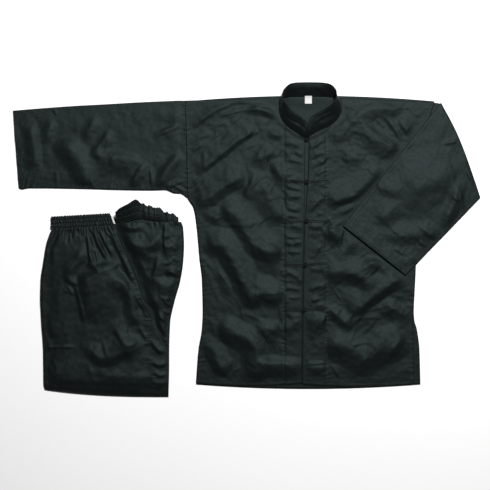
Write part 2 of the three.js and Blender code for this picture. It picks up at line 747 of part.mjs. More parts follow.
function coreSurface(u, v) {
  const below = mix(coreRows[0].below, coreRows[coreRows.length - 1].below, v);
  const x = mix(along(coreRows, 'below', 'left', below), along(coreRows, 'below', 'right', below), u);
  const height = trouserStack.core + dome(x, -below);
  return { top: [x, -below, height], under: [x, -below, 0] };
}

// The core's edge is grooved between its layers of cloth.
const layerRings = table('height out', [
  [0.9, 1.4],
  [0.62, 1.4],
  [0.5, 0],
  [0.38, 1.4],
  [0.12, 1.4],
]);

function layeredRim(top, under, k) {
  const ring = layerRings[k - 1];
  const size = Math.hypot(top[0], top[1]);
  const z = mix(under[2], Math.min(top[2], trouserStack.core), ring.height);
  return [top[0] + (ring.out * top[0]) / size, top[1] + (ring.out * top[1]) / size, z];
}

// Gathers below the waistband fan out from it: a comb of soft ribs that dies away down the leg.
function gatherLift(u, fromTop) {
  const depth = 60 * (0.65 + 0.35 * Math.sin(9 * u));
  const fade = 1 - smooth(fromTop / depth);
  return 3 * fade * (0.5 + 0.5 * Math.cos(2 * Math.PI * 10 * (u + 0.03 * Math.sin(12 * u))));
}

function topLegSurface(u, v) {
  const first = topLegRows[0].below;
  const last = topLegRows[topLegRows.length - 1].below;
  const below = mix(first, last, v);
  const at = (column) => along(topLegRows, 'below', column, below);
  const x = mix(at('left'), at('right'), u);
  const tiltShare = below < 0 ? u : 1 - (1 - u) ** 2.7;
  const y = -below + at('tilt') * tiltShare;
  const fromLeft = x - at('left');
  const fromFoot = last - below;
  const turnX = 1 - clamp01(fromLeft / trouserStack.curl);
  const turnY = 1 - clamp01(fromFoot / trouserStack.curl);
  const sunk = Math.sqrt(1 - turnX ** 2) * Math.sqrt(1 - turnY ** 2);
  const fromRight = at('right') - x;
  const nearRight = smooth(fromRight / 4) * (1 - smooth((fromRight - 6) / 18));
  const edgeRoll = 3.5 * nearRight * smooth((60 - below) / 60);
  const calmAcross = smooth(fromLeft / 35) * smooth(fromRight / 20);
  const calmDown = smooth(fromFoot / 40) * smooth((below - first) / 30);
  const gathers = gatherLift(u, below - first) * smooth(fromLeft / 12);
  const lift = foldLift(topLegFolds, x, y) * calmAcross * calmDown + edgeRoll + gathers;
  const rest = trouserStack.core + 2 * gap + wall + dome(x, y) + lift;
  const z = mix(wall + gap, rest + wall, sunk);
  return {
    top: [x, y, z],
    under: [x + wall * turnX, y + wall * turnY, z - wall * sunk],
  };
}

function underLegSurface(u, v) {
  const first = underLegRows[0].below;
  const last = underLegRows[underLegRows.length - 1].below;
  const below = mix(first, last, v);
  const left = along(underLegRows, 'below', 'left', below);
  const right = along(underLegRows, 'below', 'right', below);
  const x = mix(left, right, u);
  const edge = along(topLegRows, 'below', 'right', Math.max(below, topLegRows[0].below));
  const turn = (1 - clamp01((right - x) / 6)) * (1 - smooth((below - 20) / 40));
  const sunk = Math.sqrt(1 - turn ** 2);
  const shown = smooth((x - edge - 3) / 16);
  const calm = shown * smooth((right - x) / 20) * smooth((last - below) / 25);
  const lift = foldLift(underLegFolds, x, -below) * calm;
  const z = mix(wall + gap, trouserStack.core + gap + wall + lift, sunk);
  return {
    top: [x, -below, z],
    under: [x - wall * turn, -below, z - wall * sunk],
  };
}

// Waistband, front: three puffed rows between lines of stitching, drawn into fine gathers.
const bandEnds = {
  right: { topX: -147.3, topY: 220.5, footX: -147.5, footY: 191.2 },
  left: { topX: -1, topY: 229, footX: 9, footY: 200 },
};

function waistFrontSurface(u, v) {
  const { right, left } = bandEnds;
  const x = mix(mix(right.topX, right.footX, v), mix(left.topX, left.footX, v), u);
  const y = mix(mix(right.topY, right.footY, v), mix(left.topY, left.footY, v), u);
  const puff = 2.2 * Math.sqrt(Math.abs(Math.sin(3 * Math.PI * v)));
  const gather = 0.7 * (1 + Math.cos(2 * Math.PI * waistGathers * u));
  const base = mix(6, 7.6, v);
  return { top: [x, y, base + wall + puff + gather], under: [x, y, base] };
}

// Waistband, back: each row is a place along it, with its rim and its sewn edge.
const waistBackRows = table('place rimX rimY rimZ footX footY footZ', [
  [0, 14, 231, 20, 17, 207, 13.5],
  [1, 26, 241, 24, 36, 208.5, 12],
  [2, 45, 251, 24, 54, 212, 11],
  [3, 65, 262.5, 20, 70, 215, 10.5],
  [4, 78, 254, 14, 82, 216, 10],
  [5, 95, 247.5, 11, 98, 213, 9.6],
  [6, 120, 242.5, 10, 122, 210, 9.6],
  [7, 137, 232, 10, 140, 203, 9.6],
  [8, 155, 227.5, 9, 155, 199, 9.6],
  [9, 170, 220.5, 8, 171, 197.5, 9],
]);

function waistBackSurface(u, v) {
  const place = 9 * u;
  const at = (column) => along(waistBackRows, 'place', column, place);
  const ruffle = smooth((place - 3) / 1.5) * (1 - 0.6 * v);
  const wave = ruffle * Math.sin(2 * Math.PI * 9 * u);
  const x = mix(at('rimX'), at('footX'), v);
  const y = mix(at('rimY'), at('footY'), v) + 2 * wave * (1 - v);
  const z = mix(at('rimZ'), at('footZ'), v) + 1.6 * wave + 3 * Math.sin(Math.PI * v) * ruffle;
  return { top: [x, y, z + wall], under: [x, y, z] };
}

// Waist label: a short tape sewn along the left end of the front band.
function waistLabelSurface(u, v) {
  const { topX, topY, footX, footY } = bandEnds.left;
  const down = mix(0.2, 0.87, v);
  const x = mix(topX, footX, down) + gap + 4.4 * u;
  const y = mix(topY, footY, down) - 1.5 * u;
  return { top: [x, y, 9.2], under: [x, y, 8.2] };
}

// The jacket
const frontUs = evenly(14);
const frontVs = evenly(30);
const noPress = () => 0;
const rightFront = frontSurface(rightFrontRows, rightFrontFolds, noPress);
const leftFront = frontSurface(leftFrontRows, leftFrontFolds, pressedBySleeve);
const frontRight = sheetSolid('front_right', frontUs, frontVs, rightFront, cloth);
const frontLeft = sheetSolid('front_left', frontUs, frontVs, leftFront, cloth);
const underlap = sheetSolid('front_underlap', evenly(1), evenly(12), underlapSurface, cloth);
const support = supportOf([frontRight, frontLeft, underlap]);
const backUs = evenly(10);
const backVs = evenly(18);
const frontEdge = sideEdgeOf(leftFront, frontVs);
const backEdge = sideEdgeOf(backSurface, backVs);
const armhole = (y) => Math.max(frontEdge(y), backEdge(y));

const jacket = new THREE.Group();
jacket.add(
  sheetSolid('back_panel', backUs, backVs, backSurface, cloth),
  frontRight,
  frontLeft,
  underlap,
  tubeSolid('sleeve_right', rightSleeveStations, sleevePlaces(12, 7), rightSleevePoint, cloth),
  tubeSolid('sleeve_left', leftSleeveStations(armhole), sleevePlaces(12, 9), leftSleevePoint, cloth),
  sheetSolid('collar', evenly(36), evenly(4), collarSurface, cloth),
  sheetSolid('neck_label', evenly(1), evenly(6), neckLabelSurface, labelCloth),
);
frogs.forEach((frog, k) => {
  jacket.add(buttonSolid(`frog_${k + 1}_button`, frog, support));
  jacket.add(loopSolid(`frog_${k + 1}_loop`, frog, support));
});

// The trousers
const coreUs = evenly(9);
const coreVs = evenly(14);
const topLegUs = [0, 0.006, 0.02, 0.04, ...evenly(13).slice(1)];
const topLegVs = [...evenly(22).slice(0, 22), 0.975, 0.99, 1];
const underLegUs = [...evenly(9).slice(0, 9), 0.96, 0.985, 1];
const trousers = new THREE.Group();
trousers.position.set(trousersPlace.x, trousersPlace.y, 0);
trousers.add(
  sheetSolid('trousers_folded_layers', coreUs, coreVs, coreSurface, cloth, layeredRim, layerRings.length),
  sheetSolid('trousers_top_leg', topLegUs, topLegVs, topLegSurface, cloth),
  sheetSolid('trousers_under_leg', underLegUs, evenly(15), underLegSurface, cloth),
  sheetSolid('waistband_front', evenly(2 * waistGathers), evenly(6), waistFrontSurface, casing),
  sheetSolid('waistband_back', evenly(36), evenly(3), waistBackSurface, casing),
  sheetSolid('waist_label', evenly(1), evenly(1), waistLabelSurface, labelCloth),
);

// The uniform, centred over its own outline and resting at z = 0
const uniform = new THREE.Group();
uniform.add(jacket, trousers);
const box = new THREE.Box3().setFromObject(uniform, true);
const middle = box.getCenter(new THREE.Vector3());
uniform.position.set(-middle.x, -middle.y, 0);
uniform.updateMatrixWorld(true);

export default uniform;
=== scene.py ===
# Tai chi uniform laid flat and seen from above: a jacket with a stand collar and frog closures, beside
# folded elastic-waisted trousers. Sizes are millimetres. On the jacket they are measured from the middle
# of the back neck, on the trousers from the middle of the folded legs, with x to the wearer's left and
# y towards the collar.

import math

import bpy
import numpy as np
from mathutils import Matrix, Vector
from mathutils.bvhtree import BVHTree


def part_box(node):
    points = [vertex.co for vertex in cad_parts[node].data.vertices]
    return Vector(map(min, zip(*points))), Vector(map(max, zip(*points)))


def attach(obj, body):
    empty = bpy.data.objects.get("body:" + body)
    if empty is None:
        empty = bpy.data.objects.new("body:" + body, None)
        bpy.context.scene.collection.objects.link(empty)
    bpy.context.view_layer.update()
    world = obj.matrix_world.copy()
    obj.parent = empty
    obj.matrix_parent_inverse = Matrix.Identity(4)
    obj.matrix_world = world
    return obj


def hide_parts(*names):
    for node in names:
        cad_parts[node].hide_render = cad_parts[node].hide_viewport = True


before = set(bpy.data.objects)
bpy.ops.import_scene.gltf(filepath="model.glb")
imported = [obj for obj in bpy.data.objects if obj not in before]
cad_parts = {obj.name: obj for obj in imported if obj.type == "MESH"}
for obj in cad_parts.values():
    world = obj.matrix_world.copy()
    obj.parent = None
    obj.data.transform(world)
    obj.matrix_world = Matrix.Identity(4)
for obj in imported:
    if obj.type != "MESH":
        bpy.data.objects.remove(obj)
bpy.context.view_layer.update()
labelLow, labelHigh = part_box("neck_label")
jacketPlace = (500 * (labelLow.x + labelHigh.x) - 8, 1000 * labelHigh.y - 5.3)
trousersPlace = (jacketPlace[0] - 487.5, jacketPlace[1] - 520)

scene = bpy.context.scene
cloth = {"thickness": 0.9, "gap": 0.3, "cadWall": 1.2}


# Camera, floor and light

view = {"pictureWidth": 1225, "height": 3200, "centre": (-4.4, -12), "plane": 8}


def addCamera():
    data = bpy.data.cameras.new("camera")
    data.sensor_width = 36
    data.lens = data.sensor_width * (view["height"] - view["plane"]) / view["pictureWidth"]
    data.clip_start, data.clip_end = 0.1, 50
    camera = bpy.data.objects.new("camera", data)
    camera.location = (view["centre"][0] / 1000, view["centre"][1] / 1000, view["height"] / 1000)
    scene.collection.objects.link(camera)
    scene.camera = camera


light = {"power": 122, "at": (0.55, 1.25, 2.7), "size": 0.6, "sky": 0.05}


def addLight():
    world = bpy.data.worlds.new("studio")
    world.use_nodes = True
    world.node_tree.nodes["Background"].inputs["Color"].default_value = (1, 1, 1, 1)
    world.node_tree.nodes["Background"].inputs["Strength"].default_value = light["sky"]
    scene.world = world
    scene.view_settings.view_transform = "Standard"
    data = bpy.data.lights.new("keyLight", "AREA")
    data.energy = light["power"]
    data.shape = "DISK"
    data.size = light["size"]
    lamp = bpy.data.objects.new("keyLight", data)
    lamp.location = light["at"]
    lamp.rotation_euler = Vector(light["at"]).to_track_quat("Z", "Y").to_euler()
    scene.collection.objects.link(lamp)


addCamera()
addLight()
print("camera and lights placed")


# Tables and curves

def table(names, rows):
    return dict(zip(names.split(), np.array(rows, float).T))


def clamp(t):
    return np.clip(t, 0, 1)


def smooth(t):
    t = clamp(t)
    return t * t * (3 - 2 * t)


def mix(a, b, t):
    return a + (b - a) * t


def grid(across, down):  # u runs across a piece and v down it, both from 0 to 1
    return np.meshgrid(np.linspace(0, 1, across), np.linspace(0, 1, down))


def eased(distance, reach, least=0.0):  # least at an edge, 1 from reach on
    return least + (1 - least) * smooth(distance / reach)


def along(rows, column, at):  # smooth curve through one column, over the first one, with no overshoot
    keys, values = next(iter(rows.values())), rows[column]
    spans = np.diff(keys)
    secants = np.diff(values) / spans
    slopes = np.concatenate([secants[:1], np.zeros(len(keys) - 2), secants[-1:]])
    product = secants[:-1] * secants[1:]
    total = secants[:-1] + secants[1:]
    same = product > 0
    slopes[1:-1][same] = 2 * product[same] / total[same]
    k = np.clip(np.searchsorted(keys, at, side="left") - 1, 0, len(keys) - 2)
    span = spans[k]
    t = clamp((at - keys[k]) / span)
    start = values[k] * (1 + 2 * t) * (1 - t) ** 2 + slopes[k] * span * t * (1 - t) ** 2
    return start + values[k + 1] * (3 - 2 * t) * t**2 - slopes[k + 1] * span * (1 - t) * t**2


def columns(rows, names, at):
    return [along(rows, name, at) for name in names.split()]


def ends(rows):  # first and last value of a table's first column
    return next(iter(rows.values()))[[0, -1]]


# Folds: each row is a crest from (x1, y1) to (x2, y2), bowed to the left of that course. The steep flank
# lies to the right of it and the gentle one to the left.

foldColumns = "x1 y1 x2 y2 bow height steep gentle"
foldShape = {"crest": 0.03, "foot": 1.4, "limit": 16, "taper": 0.42, "steps": 6, "fade": 36, "beyond": 5}


def flankHeight(t):  # 1 at the crest, 0 at the foot, nearly straight between
    crest = math.sqrt(foldShape["crest"])
    across = (np.sqrt(t * t + foldShape["crest"]) - crest) / (math.sqrt(1 + foldShape["crest"]) - crest)
    return (1 - clamp(across)) ** foldShape["foot"]


def foldLift(folds, x, y, scale=1.0, spread=1.0):
    lift = np.zeros_like(x)
    for x1, y1, x2, y2, bow, height, steep, gentle in zip(*folds.values()):
        length = math.hypot(x2 - x1, y2 - y1)
        ux, uy = (x2 - x1) / length, (y2 - y1) / length
        s = ((x - x1) * ux + (y - y1) * uy) / length
        side = (y - y1) * ux - (x - x1) * uy - 4 * bow * s * (1 - s)
        flank = np.abs(side) / np.where(side > 0, gentle * spread, steep * (1 + spread) / 2)
        tapered = smooth((s + 0.06) / foldShape["taper"]) * smooth((1.06 - s) / foldShape["taper"])
        lift += scale * height * tapered * flankHeight(flank)
    return foldShape["limit"] * np.tanh(lift / foldShape["limit"])


# Ridges: height, widths of the steep and the gentle flank, and the crest's course. The steep flank lies to
# the right of the course.

def curveThrough(points):
    p = np.array(points, float)
    p = np.concatenate([2 * p[:1] - p[1:2], p, 2 * p[-1:] - p[-2:-1]])
    t = np.linspace(0, 1, foldShape["steps"], endpoint=False)[:, None]
    spans = []
    for a, b, c, d in zip(p, p[1:], p[2:], p[3:]):
        square, cube = a - 2.5 * b + 2 * c - d / 2, 1.5 * (b - c) + (d - a) / 2
        spans.append(b + (c - a) * t / 2 + square * t**2 + cube * t**3)
    return np.concatenate([*spans, p[-2:-1]])


def ridgeLift(ridges, x, y, spread=1.0):
    lift = np.zeros_like(x)
    for height, steep, gentle, points in ridges:
        course = curveThrough(points)
        reach = max(steep, gentle * spread)
        (left, low), (right, high) = course.min(axis=0) - reach, course.max(axis=0) + reach
        near = (x > left) & (x < right) & (y > low) & (y < high)
        px, py, run = x[near], y[near], 0.0
        nearest, side, at = np.full(px.shape, 1e9), np.zeros(px.shape), np.zeros(px.shape)
        for (x1, y1), (x2, y2) in zip(course[:-1], course[1:]):
            length = math.hypot(x2 - x1, y2 - y1)
            ux, uy = (x2 - x1) / length, (y2 - y1) / length
            s = np.clip((px - x1) * ux + (py - y1) * uy, 0, length)
            away = np.hypot(px - x1 - s * ux, py - y1 - s * uy)
            closer = away < nearest
            nearest[closer] = away[closer]
            side[closer] = ((py - y1) * ux - (px - x1) * uy)[closer]
            at[closer] = run + s[closer]
            run += length
        fade, beyond = min(0.5 * run, foldShape["fade"]), foldShape["beyond"]
        tapered = smooth((at + beyond) / fade) * smooth((run - at + beyond) / fade)
        lift[near] += height * tapered * flankHeight(nearest / np.where(side > 0, gentle * spread, steep))
    return foldShape["limit"] * np.tanh(lift / foldShape["limit"])


def fineCreases(x, y, count, lean, seed, box, longest=85):  # lean is their main direction in degrees
    draw = np.random.default_rng(seed)
    (left, right), (low, high) = box
    rows = []
    for _ in range(count):
        cx, cy, length = draw.uniform(left, right), draw.uniform(low, high), draw.uniform(0.25, 1) * longest
        angle = math.radians(lean + draw.normal(0, 24))
        dx, dy = length / 2 * math.cos(angle), length / 2 * math.sin(angle)
        size, bow = draw.uniform(0.35, 1.0), draw.uniform(-5, 5)
        rows.append([cx - dx, cy - dy, cx + dx, cy + dy, bow, 1.1 * size, 3.5 + 2 * size, 6 + 7 * size])
    return foldLift(table(foldColumns, rows), x, y)


def swell(x, y, size, seed):  # soft unevenness of cloth, about -1 to 1
    draw = np.random.default_rng(seed)
    total = np.zeros_like(x)
    for _ in range(8):
        angle, phase, twist = draw.uniform(0, 2 * math.pi, 3)
        wave = 2 * math.pi / (size * draw.uniform(0.7, 1.6))
        across = x * math.cos(angle) + y * math.sin(angle)
        down = y * math.cos(angle) - x * math.sin(angle)
        total += np.sin(wave * across + phase + 1.1 * np.sin(0.6 * wave * down + twist))
    return total / math.sqrt(8)


def uneven(x, y, broad, fine, seed):  # broad and fine are (height, size)
    return broad[0] * swell(x, y, broad[1], seed) + fine[0] * swell(x, y, fine[1], seed + 1)


def puckers(run, away, spacing, reach, seed):  # ripples that a line of stitching draws up, 0 to 1
    draw = np.random.default_rng(seed)
    a, b, c, lean = draw.uniform(0, 2 * math.pi, 3).tolist() + [draw.uniform(-0.4, 0.4)]
    warped = run + lean * away + 0.3 * spacing * np.sin(run / (0.63 * spacing) + a)
    strength = 0.5 + 0.3 * np.sin(run / (0.91 * spacing) + b) + 0.2 * np.sin(run / (2.3 * spacing) + c)
    wave = (0.5 + 0.5 * np.cos(2 * math.pi * warped / spacing)) ** 1.4
    fade = np.exp(-np.abs(away) / (reach * (0.6 + 0.8 * strength)))
    return wave * strength * fade


def groove(away, width):  # the dent along a line of stitching, 0 to 1
    return np.exp(-((away / width) ** 2))


# Shells: a closed mesh from the points of its two faces, with rounded rims. cut holds each point's place
# on the flat cloth, in metres, which the weave follows.

def gridFaces(index, wrap):
    if wrap:
        index = np.concatenate([index, index[:, :1]], axis=1)
    return np.stack([index[:-1, :-1], index[:-1, 1:], index[1:, 1:], index[1:, :-1]], -1).reshape(-1, 4)


def edgeOutward(middle):  # unit steps out of a sheet at its border, zero inside
    step = np.zeros_like(middle)
    step[0] += middle[0] - middle[1]
    step[-1] += middle[-1] - middle[-2]
    step[:, 0] += middle[:, 0] - middle[:, 1]
    step[:, -1] += middle[:, -1] - middle[:, -2]
    return step / np.maximum(np.linalg.norm(step, axis=-1, keepdims=True), 1e-9)


def makeMesh(name, points, faces, cornerCut, wearAndHighlight, place, material):
    corners = points[faces]
    first = np.cross(corners[:, 1] - corners[:, 0], corners[:, 2] - corners[:, 0])
    second = np.cross(corners[:, 2] - corners[:, 0], corners[:, 3] - corners[:, 0])
    if ((first + second) * corners.mean(axis=1)).sum() < 0:
        faces = faces[:, ::-1]
        cornerCut = cornerCut[:, ::-1]
    mesh = bpy.data.meshes.new(name)
    mesh.vertices.add(len(points))
    mesh.vertices.foreach_set("co", ((points + [place[0], place[1], 0]) / 1000).ravel())
    mesh.loops.add(faces.size)
    mesh.loops.foreach_set("vertex_index", faces.ravel())
    mesh.polygons.add(len(faces))
    mesh.polygons.foreach_set("loop_start", np.arange(0, faces.size, 4))
    mesh.polygons.foreach_set("use_smooth", np.ones(len(faces), bool))
    mesh.uv_layers.new(name="cut").data.foreach_set("uv", cornerCut.ravel())
    # Per-point share of paler colour, partly edge wear and partly painted highlight
    mesh.attributes.new("wearAndHighlight", "FLOAT", "POINT").data.foreach_set("value", wearAndHighlight.astype(np.float32))
    mesh.update(calc_edges=True)
    mesh.materials.append(material)
    piece = bpy.data.objects.new(name, mesh)
    scene.collection.objects.link(piece)
    return piece


def sheetPiece(name, outer, inner, cut, wearAndHighlight, place, material, rings=((0.5, 0.35),)):
    rows, columns = outer.shape[:2]
    index = np.arange(rows * columns).reshape(rows, columns)
    count = rows * columns
    border = np.concatenate([index[0, :-1], index[:-1, -1], index[-1, :0:-1], index[:0:-1, 0]])
    out = edgeOutward((outer + inner) / 2).reshape(-1, 3)[border]
    top, low = outer.reshape(-1, 3), inner.reshape(-1, 3)
    points, faces = [top, low], [gridFaces(index, False), gridFaces(index, False)[:, ::-1] + count]
    cutFlat, wearAndHighlightFlat = cut.reshape(-1, 2), wearAndHighlight.ravel()
    cuts, wearAndHighlightParts = [cutFlat, cutFlat], [wearAndHighlightFlat, wearAndHighlightFlat]
    upper, start = border, 2 * count
    for share, reach in rings:
        points.append(mix(top[border], low[border], share) + reach * out)
        cuts.append(cutFlat[border])
        wearAndHighlightParts.append(wearAndHighlightFlat[border])
        lower = start + np.arange(len(border))
        faces.append(np.stack([np.roll(upper, -1), upper, lower, np.roll(lower, -1)], -1))
        upper, start = lower, start + len(border)
    faces.append(np.stack([np.roll(upper, -1), upper, border + count, np.roll(border, -1) + count], -1))
    points, faces, cuts = np.concatenate(points), np.concatenate(faces), np.concatenate(cuts)
    return makeMesh(name, points, faces, cuts[faces], np.concatenate(wearAndHighlightParts), place, material)


def tubePiece(name, outer, inner, cut, wearAndHighlight, place, material):
    rows, columns = outer.shape[:2]
    index = np.arange(rows * columns).reshape(rows, columns)
    count = rows * columns
    wide = np.arange(rows * (columns + 1)).reshape(rows, columns + 1)
    around, aroundCut = gridFaces(index, True), gridFaces(wide, False)
    cutFlat = cut.reshape(-1, 2)
    points = [outer.reshape(-1, 3), inner.reshape(-1, 3)]
    faces, corners = [around, around[:, ::-1] + count], [cutFlat[aroundCut], cutFlat[aroundCut[:, ::-1]]]
    wearAndHighlightParts, start = [wearAndHighlight.ravel(), wearAndHighlight.ravel()], 2 * count
    for row, inside, sign in ((0, 1, -1), (rows - 1, rows - 2, 1)):
        step = outer[row] - outer[inside]
        step /= np.maximum(np.linalg.norm(step, axis=-1, keepdims=True), 1e-9)
        points.append((outer[row] + inner[row]) / 2 + 0.35 * step)
        wearAndHighlightParts.append(wearAndHighlight[row])
        ring = start + np.arange(columns)
        ringCut = cut[row]
        for upper, lower in ((index[row], ring), (ring, index[row] + count)):
            quads = np.stack([upper, np.roll(upper, -1), np.roll(lower, -1), lower], -1)
            quadCut = np.stack([ringCut[:-1], ringCut[1:], ringCut[1:], ringCut[:-1]], 1)
            faces.append(quads[:, ::sign])
            corners.append(quadCut[:, ::sign])
        start += columns
    points, faces = np.concatenate(points), np.concatenate(faces)
    return makeMesh(name, points, faces, np.concatenate(corners), np.concatenate(wearAndHighlightParts), place, material)


def laid(x, y, top, wearAndHighlight, wall=cloth["thickness"]):  # the two faces of a sheet that lies flat
    outer = np.stack([x, y, top], -1)
    return outer, outer - np.stack([0 * x, 0 * x, 0 * x + wall], -1), np.stack([x, y], -1) / 1000, wearAndHighlight


def dress(piece, slotName, *nodeNames):
    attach(piece, "root")
    if nodeNames:
        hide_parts(*nodeNames)
    return piece


# Finishes. Wire carries a socket through sums and products; every other node comes from finish.node.

class Wire:
    def __init__(self, tree, socket):
        self.tree = tree
        self.socket = socket

    def maths(self, operation, *values):
        node = self.tree.nodes.new("ShaderNodeMath")
        node.operation = operation
        for slot, value in zip(node.inputs, values):
            if isinstance(value, Wire):
                self.tree.links.new(value.socket, slot)
            else:
                slot.default_value = value
        return Wire(self.tree, node.outputs[0])

    def __add__(self, other):
        return self.maths("ADD", self, other)

    __radd__ = __add__

    def __sub__(self, other):
        return self.maths("SUBTRACT", self, other)

    def __rsub__(self, other):
        return self.maths("SUBTRACT", other, self)

    def __mul__(self, other):
        return self.maths("MULTIPLY", self, other)

    __rmul__ = __mul__

    def __pow__(self, other):
        return self.maths("POWER", self, other)

    def __abs__(self):
        return self.maths("ABSOLUTE", self)

    def sine(self):
        return self.maths("SINE", self)

    def above(self, low, high):  # 0 below low, 1 above high
        return self.maths("MINIMUM", self.maths("MAXIMUM", (self - low) * (1 / (high - low)), 0), 1)


class Finish:
    def __init__(self, name):
        self.material = bpy.data.materials.new(name)
        self.material.use_nodes = True
        self.tree = self.material.node_tree
        self.shader = self.tree.nodes["Principled BSDF"]

    def node(self, kind, settings, **values):
        node = self.tree.nodes.new("ShaderNode" + kind)
        for key, value in settings.items():
            setattr(node, key, value)
        for key, value in values.items():
            slot = node.inputs[key.replace("_", " ")]
            if isinstance(value, Wire):
                self.tree.links.new(value.socket, slot)
            else:
                slot.default_value = value
        return node

    def out(self, node, name):
        return Wire(self.tree, node.outputs[name])

    def cut(self, size, turn=0.0):  # the place on the flat cloth, in units of size millimetres
        where = self.out(self.node("UVMap", {"uv_map": "cut"}), "UV")
        scale = [1000 / size] * 3
        return self.out(self.node("Mapping", {}, Vector=where, Scale=scale, Rotation=(0, 0, turn)), "Vector")

    def split(self, vector):
        parts = self.node("SeparateXYZ", {}, Vector=vector)
        return self.out(parts, "X"), self.out(parts, "Y")

    def noise(self, vector, scale, detail=2.0):
        cloud = self.node("TexNoise", {}, Vector=vector, Scale=scale, Detail=detail)
        return self.out(cloud, "Fac")

    def blend(self, amount, first, second):
        mixer = self.node("Mix", {"data_type": "RGBA"})
        self.tree.links.new(amount.socket, mixer.inputs[0])
        for slot, colour in ((mixer.inputs[6], first), (mixer.inputs[7], second)):
            if isinstance(colour, Wire):
                self.tree.links.new(colour.socket, slot)
            else:
                slot.default_value = (*colour, 1)
        return Wire(self.tree, mixer.outputs[2])

    def bump(self, height, distance, under=None):
        values = {"Height": height, "Distance": distance}
        if under is not None:
            values["Normal"] = under
        return self.out(self.node("Bump", {}, **values), "Normal")

    def finish(self, colour, roughness, normal, **fixed):
        for key, value in (("Base Color", colour), ("Roughness", roughness), ("Normal", normal)):
            if isinstance(value, Wire):
                self.tree.links.new(value.socket, self.shader.inputs[key])
            else:
                self.shader.inputs[key].default_value = value
        for key, value in fixed.items():
            self.shader.inputs[key.replace("_", " ")].default_value = value
        return self.material


def plainWeave(finish, thread, turn=0.0):  # threads over and under each other, height 0 to 1
    u, v = finish.split(finish.cut(thread, turn))
    warp, weft = (u * math.pi).sine(), (v * math.pi).sine()
    over = warp * weft * 0.5 + 0.5
    return over * abs(warp) ** 0.6 + (1 - over) * abs(weft) ** 0.6


blackCotton = {
    # The second colour is the paler one. It stands partly for edge wear and partly for painted highlight.
    "shade": (0.0008, 0.0015, 0.00145),
    "wornAndHighlit": (0.0026, 0.0039, 0.0037),
    "thread": 0.55,
    "weave": 0.00006,
    "crumple": 0.0011,
    "wrinkles": ((32, 0.4), (11, 1.1)),
    "fixed": {
        "Sheen_Weight": 0.04,
        "Sheen_Roughness": 0.5,
        "Specular_IOR_Level": 0.25,
        "Specular_Tint": (0.7, 0.93, 0.91, 1),
    },
}


def clothFinish(name, look, turn=0.0):
    f = Finish(name)
    weave = plainWeave(f, look["thread"], turn)
    broad, slubs = f.noise(f.cut(60), 1.0, 3.0), f.noise(f.cut(7, turn), 1.0, 4.0)
    # The paler colour follows a per-point share, which is partly edge wear and partly painted highlight on
    # edges, seams, folds and crests. Random mottling is mixed in.
    wearAndHighlight = f.out(f.node("Attribute", {"attribute_name": "wearAndHighlight"}), "Fac")
    wearHighlightAndMottle = (wearAndHighlight * 0.5 + (broad - 0.5) * 0.3 + (slubs - 0.5) * 0.45 + 0.15).above(0, 1)
    colour = f.blend(wearHighlightAndMottle, look["shade"], look["wornAndHighlit"])
    wide, narrow = (abs(f.noise(f.cut(*place), 1.0, 3.0) - 0.5) for place in look["wrinkles"])
    crumple = f.bump(wide + 0.4 * narrow + 0.22 * slubs, look["crumple"])
    normal = f.bump(weave, look["weave"], crumple)
    return f.finish(colour, 0.55 + 0.1 * slubs, normal, **look["fixed"])


def cordFinish():
    f = Finish("blackCord")
    u, v = f.split(f.cut(1.1))
    twist = ((u + v) * math.pi).sine()
    slubs = f.noise(f.cut(3), 1.0, 3.0)
    colour = f.blend(slubs, (0.0018, 0.0026, 0.0025), (0.005, 0.0066, 0.0064))
    normal = f.bump(abs(twist), 0.00012)
    return f.finish(colour, 0.7 + 0.2 * slubs, normal, Sheen_Weight=0.03, Specular_IOR_Level=0.2)


def threadFinish():
    f = Finish("blackThread")
    shade = f.noise(f.out(f.node("TexCoord", {}), "Object"), 900.0)
    return f.finish(f.blend(shade, (0.012, 0.015, 0.015), (0.03, 0.036, 0.035)), 0.6, f.bump(shade, 0.00005))


def tapeFinish():
    f = Finish("whiteTape")
    weave = plainWeave(f, 0.45)
    cloud = f.noise(f.cut(5), 1.0)
    colour = f.blend(cloud * 0.5 + weave * 0.3, (0.56, 0.56, 0.55), (0.70, 0.70, 0.69))
    return f.finish(colour, 0.75, f.bump(weave, 0.00005), Sheen_Weight=0.1)


def floorFinish():
    f = Finish("paleFloor")
    shade = f.noise(f.out(f.node("TexCoord", {}), "Object"), 3.0)
    colour = f.blend(shade, (0.95, 0.95, 0.95), (0.97, 0.97, 0.97))
    return f.finish(colour, 0.95, f.bump(shade, 0.0001), Specular_IOR_Level=0.0)


blackCloth = clothFinish("blackCloth", blackCotton)
thread = threadFinish()
cordCloth = cordFinish()
whiteTape = tapeFinish()


def addCloth(make, name, shape, place, slotName, nodeName, material=blackCloth, **more):
    return dress(make(name, *shape, place, material, **more), slotName, nodeName)


def addFloor():
    bpy.ops.mesh.primitive_plane_add(size=8, location=(0, 0, -0.0004))
    floor = bpy.context.object
    floor.name = "floor"
    floor.data.materials.append(floorFinish())


addFloor()
print("finishes and floor made")


# Jacket fronts

panelColumns = "below centre side drop sag"

rightFrontRows = table(panelColumns, [
    [3, -64, -300, 6, 0],
    [34, -64.5, -299.3, 3, 0],
    [60, -55.5, -298.7, 0, 0],
    [79, -36.5, -298.3, 0, 0],
    [91, -17.5, -298, 0, 0],
    [104, 0, -297.7, 0, 0],
    [180, -1.2, -296, 0, 0],
    [255, -1.2, -294.3, 0, 0],
    [266, -1.5, -285.5, 0, 0],
    [284, -2, -278.3, 0, 0],
    [320, -3, -272.5, 0, 0],
    [407, -4.5, -264.3, 0, 0],
    [457, -5.5, -258.5, 0, 0],
    [540, -6.8, -256.5, 0, 0],
    [581, -7.5, -258.5, 0, 0],
    [631, -8, -266.8, 0, 0],
    [717, -8.5, -273.5, 0, 7],
])

